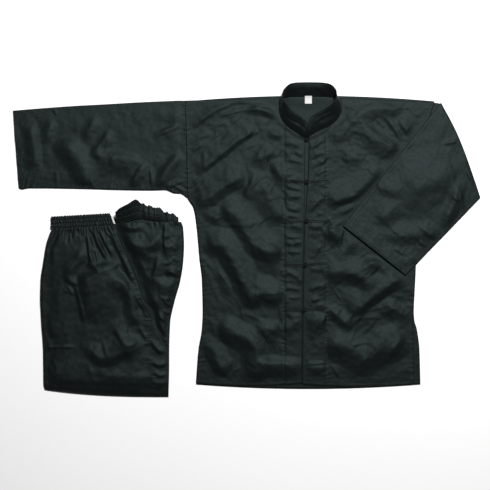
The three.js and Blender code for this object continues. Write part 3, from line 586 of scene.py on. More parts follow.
leftFrontRows = table(panelColumns, [
    [2, 88.5, 323.8, 11, 0],
    [34, 89.8, 314.5, 6, 0],
    [56, 78.3, 309.5, 4, 0],
    [70, 63, 307.5, 2, 0],
    [83, 33.8, 306.5, 0, 0],
    [98, 9.2, 306, 0, 0],
    [180, 7.8, 305, 0, 0],
    [247, 3.4, 305, 0, 0],
    [257, 3, 297.5, 0, 0],
    [282, 1.2, 287.5, 0, 0],
    [320, -2.1, 282.5, 0, 0],
    [382, -3.2, 278.8, 0, 0],
    [445, -4.4, 276.3, 0, 0],
    [560, -6.3, 271.3, 0, 0],
    [632, -7.2, 272.3, 0, 0],
    [719, -7.7, 273.8, 0, 7],
])

rightFrontRidges = [
    (4.5, 13, 24, [(-292, -79), (-242, -44), (-197, -18), (-160, -6), (-107, -5)]),
    (2, 7, 12, [(-222, -50), (-179, -38), (-138, -30)]),
    (5, 17, 15, [(-148, -31), (-119, -31), (-92, -37), (-60, -47)]),
    (3, 13, 20, [(-290, -108), (-265, -100), (-236, -92)]),
    (5.5, 14, 36, [(-272, -193), (-231, -160), (-197, -132), (-164, -106), (-118, -78)]),
    (9, 28, 52, [(-284, -274), (-246, -254), (-212, -229), (-182, -209), (-145, -205)]),
    (6, 36, 24, [(-138, -166), (-115, -154), (-92, -142), (-76, -154)]),
    (5.5, 19, 26, [(-79, -155), (-66, -190), (-51, -216)]),
    (5, 20, 28, [(-121, -178), (-134, -220), (-154, -266)]),
    (6.5, 46, 20, [(-113, -208), (-85, -257), (-62, -295), (-53, -318)]),
    (9, 32, 44, [(-216, -284), (-182, -291), (-160, -317), (-137, -355), (-119, -377), (-58, -393)]),
    (6, 60, 18, [(-128, -375), (-90, -386), (-52, -395)]),
    (4, 22, 24, [(-256, -293), (-209, -306)]),
    (11, 34, 40, [
        (-256, -375), (-209, -372), (-175, -419), (-145, -479), (-130, -499), (-107, -488), (-56, -511)
    ]),
    (11, 42, 32, [(-216, -561), (-179, -587), (-130, -619), (-122, -666), (-126, -716)]),
    (8, 24, 30, [(-254, -602), (-231, -640), (-199, -700)]),
    (8, 56, 24, [(-125, -598), (-104, -581), (-60, -587)]),
    (5, 24, 20, [(-58, -590), (-30, -570), (-4, -552)]),
    (9, 42, 20, [(-128, -666), (-77, -668), (-47, -670), (4, -673)]),
    (4, 18, 18, [(-95, -85), (-78, -92), (-56, -103)]),
    (3, 20, 14, [(-222, -430), (-203, -465), (-184, -498)]),
    (3, 14, 14, [(-262, -424), (-246, -460), (-250, -520)]),
]

leftFrontRidges = [
    (5.5, 32, 28, [(66, -118), (105, -72), (145, -40), (178, -26), (214, -30), (240, -44)]),
    (4, 30, 20, [(196, -570), (186, -608), (168, -650)]),
    (6, 30, 16, [(142, -432), (176, -414), (208, -420), (232, -436)]),
    (4, 16, 20, [(226, -52), (250, -70), (268, -104)]),
    (7, 40, 24, [(130, -62), (165, -96), (205, -122), (240, -134)]),
    (3.5, 9, 16, [(196, -48), (222, -76), (240, -112)]),
    (3.5, 26, 18, [(92, -112), (112, -145), (150, -164)]),
    (7.5, 18, 46, [(53, -273), (85, -257), (119, -248), (145, -233), (175, -205), (200, -180)]),
    (2.6, 10, 14, [(86, -294), (110, -284), (136, -268)]),
    (11, 64, 16, [(44, -348), (72, -330), (98, -320), (112, -330)]),
    (4, 28, 22, [(74, -407), (106, -378), (137, -348)]),
    (5, 28, 20, [(134, -440), (164, -415), (200, -408)]),
    (9.5, 34, 38, [(47, -454), (74, -438), (111, -439), (145, -451), (176, -480)]),
    (10, 23, 42, [(119, -546), (156, -509), (194, -482), (212, -468), (250, -445), (264, -432)]),
    (7, 36, 18, [(194, -510), (231, -535), (264, -560)]),
    (5.5, 24, 20, [(52, -525), (85, -550), (114, -584)]),
    (4, 24, 28, [(120, -508), (111, -557), (106, -596)]),
    (11, 48, 44, [(48, -613), (96, -625), (137, -647), (152, -655), (182, -636), (220, -617), (254, -588)]),
    (6.5, 48, 22, [(-4, -555), (30, -560), (54, -577)]),
    (5.5, 32, 18, [(-4, -677), (30, -678), (54, -681)]),
    (3, 12, 18, [(252, -588), (227, -617), (211, -650)]),
    (3, 14, 20, [(262, -470), (274, -500)]),
]

rightCreases = table(foldColumns, [
    [-168, -12, -82, -22, 0, 1.4, 6, 10],
    [-216, -436, -186, -488, 2, 1.4, 5, 12],
    [-290, -150, -250, -105, 0, 1.2, 6, 9],
    [-285, -120, -262, -100, 0, 1.0, 5, 7],
    [-296, -180, -262, -150, 0, 1.3, 6, 8],
    [-296, -232, -258, -202, 0, 1.8, 5, 8],
    [-292, -246, -252, -222, 0, 1.6, 5, 7],
    [-240, -118, -214, -88, 0, 1.2, 5, 8],
    [-155, -108, -135, -88, 0, 1.0, 5, 7],
    [-125, -95, -108, -72, 0, 1.0, 5, 6],
    [-258, -410, -246, -448, 0, 1.4, 6, 9],
    [-240, -430, -232, -500, 0, 1.2, 6, 9],
    [-75, -560, -58, -590, 0, 1.2, 6, 8],
    [-258, -552, -232, -560, 0, 1.0, 6, 8],
    [-188, -678, -184, -650, 0, 1.0, 7, 9],
    [-190, -702, -160, -676, 3, 0.8, 6, 9],
    [-160, -510, -154, -560, -3, 0.9, 5, 7],
])

leftCreases = table(foldColumns, [
    [88, -292, 135, -270, 0, 1.5, 8, 12],
    [208, -650, 248, -598, 0, 1.4, 8, 12],
    [65, -668, 90, -710, 0, 1.4, 7, 12],
    [64, -470, 94, -516, 0, 1.0, 4, 6],
    [84, -3, 108, -28, 0, 1.2, 6, 9],
    [232, -60, 262, -100, 0, 1.4, 7, 9],
    [178, -55, 198, -78, 0, 1.0, 5, 7],
    [250, -110, 272, -118, 0, 1.2, 5, 8],
    [100, -80, 132, -152, 0, 1.2, 8, 10],
    [56, -300, 80, -335, 0, 1.2, 6, 9],
    [255, -472, 278, -490, 0, 1.0, 5, 7],
    [250, -540, 272, -535, 0, 1.0, 6, 8],
])

rightPlacketFolds = table(foldColumns, [
    [-50, -112, -10, -128, 3, 1.8, 9, 14],
    [-30, -135, -6, -150, 2, 1.4, 8, 12],
    [-52, -158, -6, -166, 3, 1.8, 7, 12],
    [-50, -182, -30, -180, 4, 0.9, 6, 9],
    [-52, -222, -10, -236, 2, 1.4, 7, 10],
    [-52, -245, -8, -248, -3, 2.6, 9, 15],
    [-52, -272, -8, -282, -4, 2.4, 9, 16],
    [-50, -298, -12, -300, 0, 1.2, 6, 9],
    [-40, -322, -6, -328, 2, 2.0, 10, 12],
    [-52, -348, -8, -350, -2, 1.6, 6, 10],
    [-52, -368, -32, -366, 2, 1.8, 7, 9],
    [-32, -368, -8, -366, 2, 1.8, 7, 9],
    [-52, -386, -8, -388, -2, 1.2, 6, 9],
    [-50, -436, -20, -452, 2, 1.6, 8, 12],
    [-22, -440, -8, -470, 0, 1.6, 10, 10],
    [-52, -478, -12, -484, 2, 1.8, 7, 10],
    [-50, -500, -10, -500, -3, 1.3, 6, 10],
    [-34, -548, -10, -552, 2, 1.2, 6, 8],
])

leftPlacketFolds = table(foldColumns, [
    [8, -133, 50, -106, 2, 2.2, 10, 16],
    [10, -158, 34, -138, 0, 1.6, 8, 12],
    [24, -150, 52, -140, 3, 1.4, 7, 10],
    [12, -178, 54, -160, 2, 1.8, 8, 14],
    [24, -200, 54, -178, 0, 1.6, 6, 10],
    [12, -232, 32, -200, 0, 1.5, 8, 10],
    [8, -290, 54, -244, 3, 2.4, 9, 16],
    [10, -262, 32, -262, 2, 1.0, 6, 8],
    [6, -322, 52, -322, -3, 3.0, 12, 18],
    [18, -408, 42, -366, 2, 1.6, 9, 12],
    [30, -372, 44, -392, 0, 1.4, 8, 9],
    [8, -428, 50, -430, -3, 1.4, 8, 12],
    [6, -484, 54, -470, 2, 2.2, 9, 16],
    [6, -512, 54, -500, 0, 1.4, 8, 12],
    [2, -668, 52, -666, 0, 1.4, 4, 7],
])

front = {"across": 148, "down": 306, "underarm": 235, "hemStitch": 8, "turned": 1.8}
placket = {"edge": 54, "ramp": 9, "rise": 1.5, "from": 105}

foldedSleeve = {
    "foldTop": (341.8, -14.3),
    "foldFoot": (440, -252),
    "cuffTop": (93.8, -322.5),
    "cuffFoot": (251.3, -446.3),
    "reach": 30,
}


def outside(start, end, x, y):  # how far (x, y) lies to the left of the course from start to end
    (x1, y1), (x2, y2) = start, end
    return ((x2 - x1) * (y - y1) - (y2 - y1) * (x - x1)) / math.hypot(x2 - x1, y2 - y1)


def pressedBySleeve(x, y):
    aboveEdge = -outside(foldedSleeve["foldTop"], foldedSleeve["cuffTop"], x, y)
    beyondCuff = -outside(foldedSleeve["cuffTop"], foldedSleeve["cuffFoot"], x, y)
    return 1 - smooth(np.maximum(aboveEdge, beyondCuff) / foldedSleeve["reach"])


def frontPoints(rows, ridges, creases, placketFolds, fine, seed, underSleeve=False):
    u, v = grid(front["across"], front["down"])
    first, last = ends(rows)
    below = mix(first, last, v)
    centre, side, drop, sag = columns(rows, "centre side drop sag", below)
    x, y = mix(centre, side, u), -below - drop * u - sag * 4 * u * (1 - u)
    pressed = pressedBySleeve(x, y) if underSleeve else 0
    fromCentre, fromSide = np.abs(x - centre), np.abs(side - x)
    fromTop, fromFoot = below - first, last - below
    inNeck = 1 - smooth((below - 90) / 60)
    loose = mix(eased(fromCentre, 40, 0.45), eased(fromCentre, 30), inNeck)
    loose *= eased(fromSide, 60, 0.3) * eased(fromTop, 25, 0.2) * eased(fromFoot, 35, 0.3)
    fromSeam = np.abs(x) - placket["edge"]
    lowStrip = smooth((below - placket["from"]) / 30)
    strip = foldLift(placketFolds, x, y) * (1 - smooth((fromSeam + 3) / 4))
    strip *= eased(fromCentre, 7) * eased(fromFoot, 20)
    crinkles = puckers(y, fromSeam, 13, 6, seed) + puckers(y, fromSeam, 7.5, 3.6, seed + 9)
    seam = (0.9 * crinkles - 0.35 * groove(fromSeam, 1.3)) * lowStrip
    belowArm = smooth((below - front["underarm"]) / 20)
    armhole = 1.9 * puckers(y, fromSide, 9, 5, seed + 2) * (1 - belowArm)
    sideSeam = 1.1 * puckers(y, fromSide, 15, 13, seed + 1) * smooth((below - front["underarm"] - 15) / 40)
    hem = 0.5 * puckers(x, fromFoot, 17, 7, seed + 3) - 0.35 * groove(fromFoot - front["hemStitch"], 1.1)
    rims = np.minimum(fromCentre, np.minimum(fromTop, fromFoot))
    edges = np.minimum(rims, fromSide)
    soft = uneven(x, y, (0.55, 62), (0.22, 21), seed + 4) * eased(edges, 18)
    details = np.maximum(strip + seam + sideSeam + armhole + hem + soft, -0.9)
    fineLift = sum(fineCreases(x, y, *one) for one in fine)
    folds = ridgeLift(ridges, x, y, 1.15) + foldLift(creases, x, y, 1.3) + fineLift
    rise = placket["rise"] * (1 - smooth((fromSeam + placket["ramp"]) / placket["ramp"]))
    top = 2 * cloth["cadWall"] + cloth["gap"] + rise
    top += folds * loose * (1 - pressed) + details * (1 - 0.85 * pressed)
    top -= 0.75 * groove(rims, front["turned"]) + (0.15 + 0.6 * belowArm) * groove(fromSide, front["turned"])
    # Paler along the rims and the placket stitching: partly edge wear, partly painted highlight on the edges
    # and stitch puckers
    return laid(x, y, top, 0.15 * np.exp(-edges / 2.2) + 0.2 * groove(fromSeam, 2.5) * lowStrip)


# Each row of fine creases: how many, their lean, seed, the box they lie in, and the longest one
rightFine = [
    (64, 38, 101, ((-290, -60), (-330, -20))),
    (34, -45, 102, ((-260, -60), (-700, -330))),
    (60, -8, 105, ((-52, -8), (-560, -115)), 34),
]
leftFine = [
    (44, -30, 103, ((60, 300), (-170, -10))),
    (40, 28, 104, ((60, 270), (-700, -300))),
    (46, 30, 106, ((12, 52), (-600, -115)), 38),
]
rightFront = frontPoints(rightFrontRows, rightFrontRidges, rightCreases, rightPlacketFolds, rightFine, 11)
leftFront = frontPoints(leftFrontRows, leftFrontRidges, leftCreases, leftPlacketFolds, leftFine, 23, True)
frontRight = addCloth(sheetPiece, "frontRight", rightFront, jacketPlace, "cloth", "front_right")
frontLeft = addCloth(sheetPiece, "frontLeft", leftFront, jacketPlace, "cloth", "front_left")


underlapSize = {"right": -10, "left": 19, "top": -112, "foot": -716, "height": 2.7}


def underlapPoints():
    u, v = grid(12, 160)
    x = mix(underlapSize["right"], underlapSize["left"], u)
    y = mix(underlapSize["top"], underlapSize["foot"], v)
    soft = 0.12 * swell(x, y, 30, 31) * smooth((0.5 - np.abs(u - 0.5)) / 0.2)
    # The colour grows paler towards the left side
    return laid(x, y, underlapSize["height"] + soft, 0.1 * u)


underlap = addCloth(sheetPiece, "frontUnderlap", underlapPoints(), jacketPlace, "cloth", "front_underlap")

backRows = table("below right left drop sag", [
    [0.6, -299.9, 324.4, 10, -4],
    [60, -298.7, 309.3, 3, 0],
    [160, -296.5, 305, 0, 0],
    [247, -294.6, 305, 0, 0],
    [257, -293.3, 297.5, 0, 0],
    [282, -279, 287.5, 0, 0],
    [320, -272.5, 282.5, 0, 0],
    [382, -266.5, 278.8, 0, 0],
    [445, -260, 276.3, 0, 0],
    [540, -256.5, 273, 0, 0],
    [560, -257.5, 274.5, 0, 0],
    [581, -259, 280.5, 0, 0],
    [631, -267, 287, 0, 0],
    [720, -273.8, 289.5, 0, 11],
])


def backPoints():
    u, v = grid(130, 160)
    first, last = ends(backRows)
    below = mix(first, last, v)
    right, left, drop, sag = columns(backRows, "right left drop sag", below)
    x, y = mix(right + 1, left - 1, u), -below - drop * (2 * u - 1) ** 2 - sag * 4 * u * (1 - u)
    edge = np.minimum(np.minimum(x - right, left - x), last - below)
    inNeck = smooth((x + 60) / 25) * smooth((85 - x) / 25)
    top = 1.05 + 0.12 * swell(x, y, 25, 41) - 0.2 * groove(edge - front["hemStitch"], 1.2)
    top += inNeck * (2.4 * smooth((y + 34) / 34) + 1.1 * smooth((y + 80) / 80))
    # Paler along the edges: partly edge wear, partly painted highlight
    return laid(x, y, top, 0.2 * np.exp(-edge / 2.2), wall=top)


backShape = backPoints()
back = addCloth(sheetPiece, "backPanel", backShape, jacketPlace, "cloth", "back_panel")
print("jacket body made")


# Sleeves: flattened tubes. layer is 1 on the cloth that shows and -1 on the cloth below it.

sleeve = {"depth": 4.2, "edgeDepth": 2.1, "edgeRound": 1.2, "rightHem": 55, "leftHem": 38, "stations": 150}

rightSleeveRows = table("place ux uy lx ly", [
    [0, -300.7, -9, -295.3, -253.8],
    [1, -318, -8.8, -312, -242.5],
    [2, -336, -9.6, -327.5, -241.5],
    [3, -362, -10.6, -352, -233.2],
    [4, -398, -12.2, -384, -234],
    [5, -430, -13.8, -414, -233.9],
    [6, -464, -15.8, -446, -233.3],
    [7, -498, -17.8, -478, -232.6],
    [8, -532, -19.6, -510, -231.6],
    [9, -566, -21.4, -542, -230.6],
    [10, -600, -23.6, -578, -229.8],
    [11, -636, -26.2, -618, -229],
    [12, -670, -28.8, -656, -228.5],
    [13, -702, -31.4, -690, -228.5],
    [14, -722, -33.2, -709, -231.5],
    [15, -731.5, -34, -717, -228.8],
])

rightSleeveRidges = [
    (4.5, 28, 18, [(-690, -64), (-684, -100), (-676, -145), (-682, -185)]),
    (5, 30, 18, [(-634, -50), (-640, -82), (-652, -122)]),
    (8.5, 44, 34, [(-602, -100), (-588, -130), (-564, -162), (-552, -188), (-556, -226)]),
    (4, 20, 20, [(-520, -48), (-538, -80), (-552, -116)]),
    (4.5, 14, 24, [(-486, -80), (-503, -108), (-520, -130), (-540, -148)]),
    (6, 54, 20, [(-540, -148), (-500, -149), (-456, -153), (-408, -166)]),
    (5.5, 14, 22, [(-400, -160), (-412, -182), (-426, -208), (-438, -232)]),
    (6.5, 20, 28, [(-304, -140), (-330, -164), (-352, -190), (-372, -228)]),
    (2.5, 12, 20, [(-306, -74), (-340, -82), (-380, -100)]),
    (2.5, 18, 24, [(-318, -34), (-324, -58), (-330, -80)]),
]

rightSleeveCreases = table(foldColumns, [
    [-388, -170, -382, -232, 0, 2, 7, 10],
    [-352, -228, -302, -208, 0, 2, 7, 10],
    [-370, -95, -308, -70, 0, 1.2, 7, 10],
    [-632, -27, -622, -46, 0, 1.4, 4, 7],
    [-535, -205, -532, -232, 0, 1.6, 5, 7],
    [-622, -182, -624, -230, 0, 1.3, 5, 8],
    [-672, -60, -664, -226, 0, 0.9, 5, 9],
    [-478, -150, -490, -172, 0, 1.2, 7, 9],
    [-490, -100, -500, -140, 0, 1.2, 8, 12],
    [-335, -218, -300, -238, 0, 1.5, 6, 8],
])

leftSleeveFolds = table(foldColumns, [
    [232, -260, 392, -178, 6, 6, 48, 55],
    [178, -212, 242, -258, 0, 2.5, 18, 25],
    [180, -318, 240, -258, 0, 3.5, 25, 20],
    [388, -208, 348, -328, 0, 5, 17, 15],
    [282, -320, 330, -358, 0, 2.5, 10, 20],
    [198, -350, 318, -342, 0, 3, 22, 25],
])

leftSleeveCreases = table(foldColumns, [
    [338, -120, 388, -108, 0, 2, 7, 11],
    [430, -236, 388, -112, 0, 2.4, 18, 14],
    [220, -375, 250, -398, 0, 1.4, 5, 9],
    [218, -335, 233, -343, 0, 1.2, 5, 7],
    [365, -250, 385, -262, 0, 1.2, 6, 9],
    [405, -190, 432, -236, 0, 1.5, 7, 9],
    [262, -398, 272, -418, 0, 1.4, 6, 8],
    [285, -360, 300, -376, 0, 1.2, 5, 8],
    [385, -235, 395, -285, 0, 1.4, 7, 9],
    [190, -232, 178, -212, 0, 0.9, 6, 9],
])


def sleeveRing(count, station):  # across is 0 at the upper edge and 1 at the lower one
    even = np.linspace(0, 1, count)
    t = mix(even, (1 - np.cos(math.pi * even)) / 2, 0.35)
    across, layer = np.append(t, t[-2:0:-1]), np.append(np.ones(count), -np.ones(count - 2))
    return across + 0 * station, layer + 0 * station


def flattened(fromEdge, wall):  # height of one face of a pressed tube, thin and rounded at its edges
    half = mix(sleeve["edgeDepth"], sleeve["depth"], smooth(fromEdge / 40)) / 2 - wall
    return half * np.sqrt(1 - (1 - clamp(fromEdge / sleeve["edgeRound"])) ** 2)


def tubeCut(run, across, layer, width):  # the flat cloth, opened along the upper edge
    around = np.where(layer > 0, across, 2 - across) * width
    closed = np.concatenate([around, 2 * width[:, :1]], axis=1)
    runClosed = np.concatenate([run, run[:, :1]], axis=1)
    return np.stack([runClosed, closed], -1) / 1000


def rightSleeveShell():
    station = np.linspace(0, 15, sleeve["stations"])[:, None]
    across, layer = sleeveRing(84, station)
    ux, uy, lx, ly = columns(rightSleeveRows, "ux uy lx ly", station)
    width = np.hypot(ux - lx, uy - ly)
    seam, cuff = (-300.7, -295.3), (-731.5, -717)
    faces = []
    for inset in (0, cloth["thickness"]):
        t = mix(inset / width, 1 - inset / width, across)
        x, y = mix(ux, lx, t), mix(uy, ly, t)
        fromEdge, fromLower = np.minimum(t, 1 - t) * width, (1 - t) * width
        fromSeam, fromCuff = mix(*seam, t) - x, x - mix(*cuff, t)
        fromHem = fromCuff - sleeve["rightHem"]
        near = eased(fromEdge, 18) * eased(fromSeam, 30, 0.3) * eased(fromCuff, 25, 0.4)
        lift = ridgeLift(rightSleeveRidges, x, y, 1.1) * near
        lift += foldLift(rightSleeveCreases, x, y, 1.2) * eased(fromEdge, 5) * eased(fromCuff, 4)
        lift += 2.1 * puckers(x, fromLower, 12, 14, 51) * eased(fromLower, 3) * eased(fromCuff, 20)
        lift += 0.5 * puckers(x, fromEdge, 9, 5, 52) * eased(fromEdge, 3)
        lift += 1.9 * puckers(y, fromSeam, 9, 5, 13) * eased(fromEdge, 4)
        lift += 0.6 * puckers(y, fromHem, 12, 7, 53) * eased(fromEdge, 5) - 0.4 * groove(fromHem, 1.3)
        lift += uneven(x, y, (0.5, 58), (0.2, 20), 54) * eased(fromEdge, 20)
        lift = np.maximum(lift, -0.8) * (layer > 0) * eased(fromEdge, 1.5)
        faces.append(np.stack([x, y, sleeve["depth"] / 2 + layer * flattened(fromEdge, inset) + lift], -1))
    # Paler along the hem stitching: partly wear, partly painted highlight on its puckers
    return *faces, tubeCut(np.abs(x), across, layer, width), 0.2 * groove(fromHem, 2.5)


sleeveRight = addCloth(tubePiece, "sleeveRight", rightSleeveShell(), jacketPlace, "cloth", "sleeve_right")


# Left sleeve: it leaves the armhole lying low, turns over on a small radius and comes back over itself.

turnOver = {"radius": 2.6, "bow": 6.5, "bowAt": 0.4, "sink": 1.8, "cuffRise": 2.6}


def leftArmhole():  # x of the panels' side edge at each y
    edges = [shape[0][:, -1] for shape in (leftFront, backShape)]
    return lambda y: np.maximum(*[np.interp(y, edge[::-1, 1], edge[::-1, 0]) for edge in edges])


def leftSleeveShell():
    top, foot = np.array(foldedSleeve["foldTop"]), np.array(foldedSleeve["foldFoot"])
    course = (foot - top) / np.linalg.norm(foot - top)
    out = np.array([-course[1], course[0]])
    half = sleeve["depth"] / 2
    inset = (turnOver["radius"] + half) * out
    axis = (*(top - inset), *(foot - inset))
    seam = (324.6, -13.5, 305.6, -247)
    cuff = (*foldedSleeve["cuffTop"], *foldedSleeve["cuffFoot"])

    # Stations: 12 from the armhole to the fold, 13 round it and 150 from there to the cuff
    low, turn = np.linspace(0, 1, 12), np.linspace(-90, 90, 15)[1:-1]
    home = np.linspace(0, 1, sleeve["stations"])
    courses = [mix(np.array(seam), np.array(axis), low[:, None]), np.tile(axis, (len(turn), 1))]
    courses.append(mix(np.array(axis), np.array(cuff), home[:, None]))
    ux, uy, lx, ly = (column[:, None] for column in np.concatenate(courses).T)

    def stations(onLow, onTurn, onHome):
        return np.concatenate([onLow + 0 * low, onTurn + 0 * turn, onHome + 0 * home])[:, None]

    angle = np.radians(stations(-90, turn, 90))
    atArmhole, seamShare = stations((1 - low) ** 2.7, 0, 0), stations(1 - low, 0, 0)
    homeShare = stations(0, 0, home)
    onTop, bowShare = stations(0, 0, 1), stations(low**2, 1, 1 - smooth(home / 0.22))
    sink = turnOver["sink"] * smooth((homeShare - 0.42) / 0.3)
    across, layer = sleeveRing(80, angle)
    width = np.hypot(ux - lx, uy - ly)
    armhole = leftArmhole()
    faces = []
    for wall in (0, cloth["thickness"]):
        t = mix(wall / width, 1 - wall / width, across)
        fromEdge, fromLower, fromUpper = np.minimum(t, 1 - t) * width, (1 - t) * width, t * width
        radius = turnOver["radius"] + layer * flattened(fromEdge, wall)
        lean = np.where(t < turnOver["bowAt"], t / turnOver["bowAt"], (1 - t) / (1 - turnOver["bowAt"]))
        bulge = radius * np.cos(angle) + turnOver["bow"] * bowShare * np.sin(lean * math.pi / 2) ** 1.5
        straightX, y = mix(ux, lx, t), mix(uy, ly, t) + bulge * out[1]
        x = straightX + atArmhole * (armhole(y) + 2.5 * cloth["gap"] - straightX) + bulge * out[0]
        toCuff = [mix(axis[k] - cuff[k], axis[k + 2] - cuff[k + 2], t) for k in (0, 1)]
        fromCuff = (1 - homeShare) * np.hypot(*toCuff)
        fromHem = fromCuff - sleeve["leftHem"]
        lift = foldLift(leftSleeveFolds, x, y, 1.4, 1.6) * eased(fromEdge, 18) * eased(homeShare, 0.05)
        creases = foldLift(leftSleeveCreases, x, y, 1.2) * eased(fromEdge, 5)
        lift += creases * eased(fromCuff, 4) * eased(homeShare, 0.03)
        lower = puckers(300 * homeShare, fromLower, 16, 12, 61) * eased(fromLower, 3)
        lift += 0.9 * lower * eased(fromCuff, 25)
        lift += 0.9 * groove(fromUpper - 7, 2.2) * eased(homeShare, 0.1) * (0.6 + 0.4 * swell(x, y, 40, 62))
        lift += 0.45 * puckers(fromUpper, fromHem, 12, 7, 63) * eased(fromEdge, 5)
        lift -= 0.4 * groove(fromHem, 1.3)
        lift += uneven(x, y, (0.5, 60), (0.2, 22), 64) * eased(fromEdge, 20)
        lift = np.maximum(lift, -0.7) * (layer > 0) * onTop * eased(fromEdge, 1.5)
        seamPuckers = 0.5 * puckers(y, (1 - seamShare) * 20, 7.2, 4, 25) * eased(fromEdge, 6)
        lift += seamPuckers * (seamShare > 0) * (layer < 0)
        lift += turnOver["cuffRise"] * (1 - smooth(fromCuff / 70)) * onTop - sink
        faces.append(np.stack([x, y, half + turnOver["radius"] + radius * np.sin(angle) + lift], -1))
    step = np.linalg.norm(np.diff(faces[0][:, 40], axis=0, prepend=faces[0][:1, 40]), axis=-1)
    run = np.cumsum(step)[:, None] + 0 * across
    # Paler along the hem stitching, partly wear and partly painted highlight, and a painted highlight round
    # the fold's rounded edge
    wearAndHighlight = 0.2 * groove(fromHem, 2.5) + 0.2 * np.cos(angle) ** 2
    return *faces, tubeCut(run, across, layer, width), wearAndHighlight


sleeveLeft = addCloth(tubePiece, "sleeveLeft", leftSleeveShell(), jacketPlace, "cloth", "sleeve_left")
print("sleeves made")


# Collar: a doubled band round the neck. Each row is a station from its right end to its left end.

collarRows = table("turn seamX seamY seamZ rimX rimY rimZ", [
    [0, 3.4, -103, 7, 4, -72, 18],
    [1, -5, -99, 6.5, 1.5, -62, 21],
    [2, -16.5, -91.5, 6, -5, -54.5, 23],
    [3, -36.5, -79, 5, -24, -44, 25],
    [4, -52.5, -64, 4.4, -39, -32, 28],
    [5, -61, -47.5, 4.2, -48, -21, 33],
    [6, -64.5, -30, 4.2, -54.5, -11, 36],
    [7, -64.3, -12.5, 4.2, -58, -1.3, 37],
    [8, -60, -3.5, 3.6, -56.5, 10, 34],
    [9, -51.3, -1.2, 2.9, -48.8, 21.5, 31],
    [10, -38, -1, 2.7, -36, 31, 25],
    [11, -20, -1, 2.7, -18, 34, 21],
    [12, 5, -1, 2.7, 6, 34.5, 20],
    [13, 32, -1, 2.7, 33, 34, 21],
    [14, 53, -1, 2.7, 56, 31, 25],
    [15, 67, -1.2, 2.9, 69, 22.5, 31],
    [16, 79.5, -3, 3.6, 75.8, 10, 34],
    [17, 88.8, -11, 4.2, 75.5, -2.5, 37],
    [18, 90.6, -28, 4.2, 70, -13.8, 36],
    [19, 86, -45, 4.2, 61.3, -23, 33],
    [20, 74.5, -61, 4.4, 46.3, -33, 28],
    [21, 55, -74.5, 5, 28, -42, 25],
    [22, 33, -84.5, 6, 14, -51.5, 23],
    [23, 16.5, -93.5, 6.5, 8.2, -60.5, 21],
    [24, 5.3, -101.5, 7, 5.8, -71.5, 18],
])

collar = {"height": 42, "thickness": 1.9, "stitch": 4, "crown": 2.52}

collarFolds = table(foldColumns, [  # x runs round the band from its right end, y up from its seam
    [0, 22, 95, 12, 4, 1.6, 6, 10],
    [8, 32, 70, 26, 2, 1.0, 5, 8],
    [300, 12, 395, 20, 4, 1.6, 10, 6],
    [320, 28, 385, 32, 2, 1.1, 8, 6],
    [140, 26, 270, 26, 2, 0.8, 8, 12],
])


def collarShell():
    u, v = np.meshgrid(np.linspace(0, 24, 300), np.linspace(0, 1, 30))
    seam = np.stack(columns(collarRows, "seamX seamY seamZ", u), -1)
    lean = np.stack(columns(collarRows, "rimX rimY rimZ", u), -1) - seam
    middle = seam + lean * v[..., None]
    flat = np.linalg.norm(lean[..., :2], axis=-1) / np.linalg.norm(lean, axis=-1)
    middle[..., 2] += collar["crown"] * 4 * v * (1 - v) * flat
    normal = np.cross(np.gradient(middle, axis=1), np.gradient(middle, axis=0))
    normal *= np.sign(normal[15, 150, 2]) / np.linalg.norm(normal, axis=-1, keepdims=True)
    step = np.linalg.norm(np.diff(middle[0], axis=0, prepend=middle[:1, 0]), axis=-1)
    run, rise, fromRim = np.cumsum(step)[None, :] + 0 * u, v * collar["height"], (1 - v) * collar["height"]
    calm = eased(v, 0.12) * eased(1 - v, 0.12) * eased(run, 8) * eased(run[0, -1] - run, 8)
    lift = (foldLift(collarFolds, run, rise) + 0.35 * swell(run, rise, 30, 71)) * calm
    lift += 0.5 * puckers(run, rise, 11, 6, 72) * eased(v, 0.05)
    half = collar["thickness"] / 2 - 0.28 * groove(fromRim - collar["stitch"], 0.9)
    outer, inner = middle + normal * (lift + half)[..., None], middle + normal * (lift - half)[..., None]
    # Paler along the rim: painted highlight on the rim edge, partly edge wear
    return outer, inner, np.stack([run, rise], -1) / 1000, 0.45 * np.exp(-fromRim / 2.5)


collarShape = collarShell()
rims = ((0.2, 0.45), (0.5, 0.7), (0.8, 0.45))
collarBand = addCloth(sheetPiece, "collarBand", collarShape, jacketPlace, "collar", "collar", rings=rims)


# Neck label: a blank white tape, sewn on the collar at its top and lying on the back below it.

labelRows = table("below height", [[-5.3, 8], [-2, 6.6], [2, 5], [5.5, 4.2], [9, 3.9], [18, 3.6]])
label = {"right": -0.7, "left": 16.3, "top": -2, "foot": 16.5, "thickness": 0.5, "crown": 0.35}


def neckLabelShell():
    u, v = grid(26, 40)
    below = mix(label["top"], label["foot"], v)
    z = along(labelRows, "height", below) + 1 + label["crown"] * np.sin(u * math.pi) * eased(v, 0.5)
    wearAndHighlight = 0.3 * np.exp(-20 * np.minimum(u, 1 - u))
    return laid(mix(label["right"], label["left"], u), -below, z, wearAndHighlight, label["thickness"])


neckLabel = addCloth(
    sheetPiece, "neckLabel", neckLabelShell(), jacketPlace, "label", "neck_label", whiteTape,
)
print("collar and label made")


# Frogs: doubled cords sewn flat, a woven knot on the right front and an eye round it on the left.

frogRows = [
    (-49, -80, 3.5, -107, 62, -74, 5),
    (-49, -209, 4, -213.5, 57, -210, 0),
    (-50, -314, 4, -311, 57, -312, 0),
    (-52, -421, 0, -421, 52, -416, 0),
    (-50, -534, -3, -533.5, 47, -532, 0),
]

frog = {
    "cord": 0.9,
    "apart": 2.0,
    "eye": 5.6,
    "ball": 2.7,
    "weave": 0.6,
    "knotCord": 1.1,
    "sides": 12,
    "sewn": 0.55,
    "under": 2.2,
    "merge": 7,
    "ballHeight": 3.6,
}


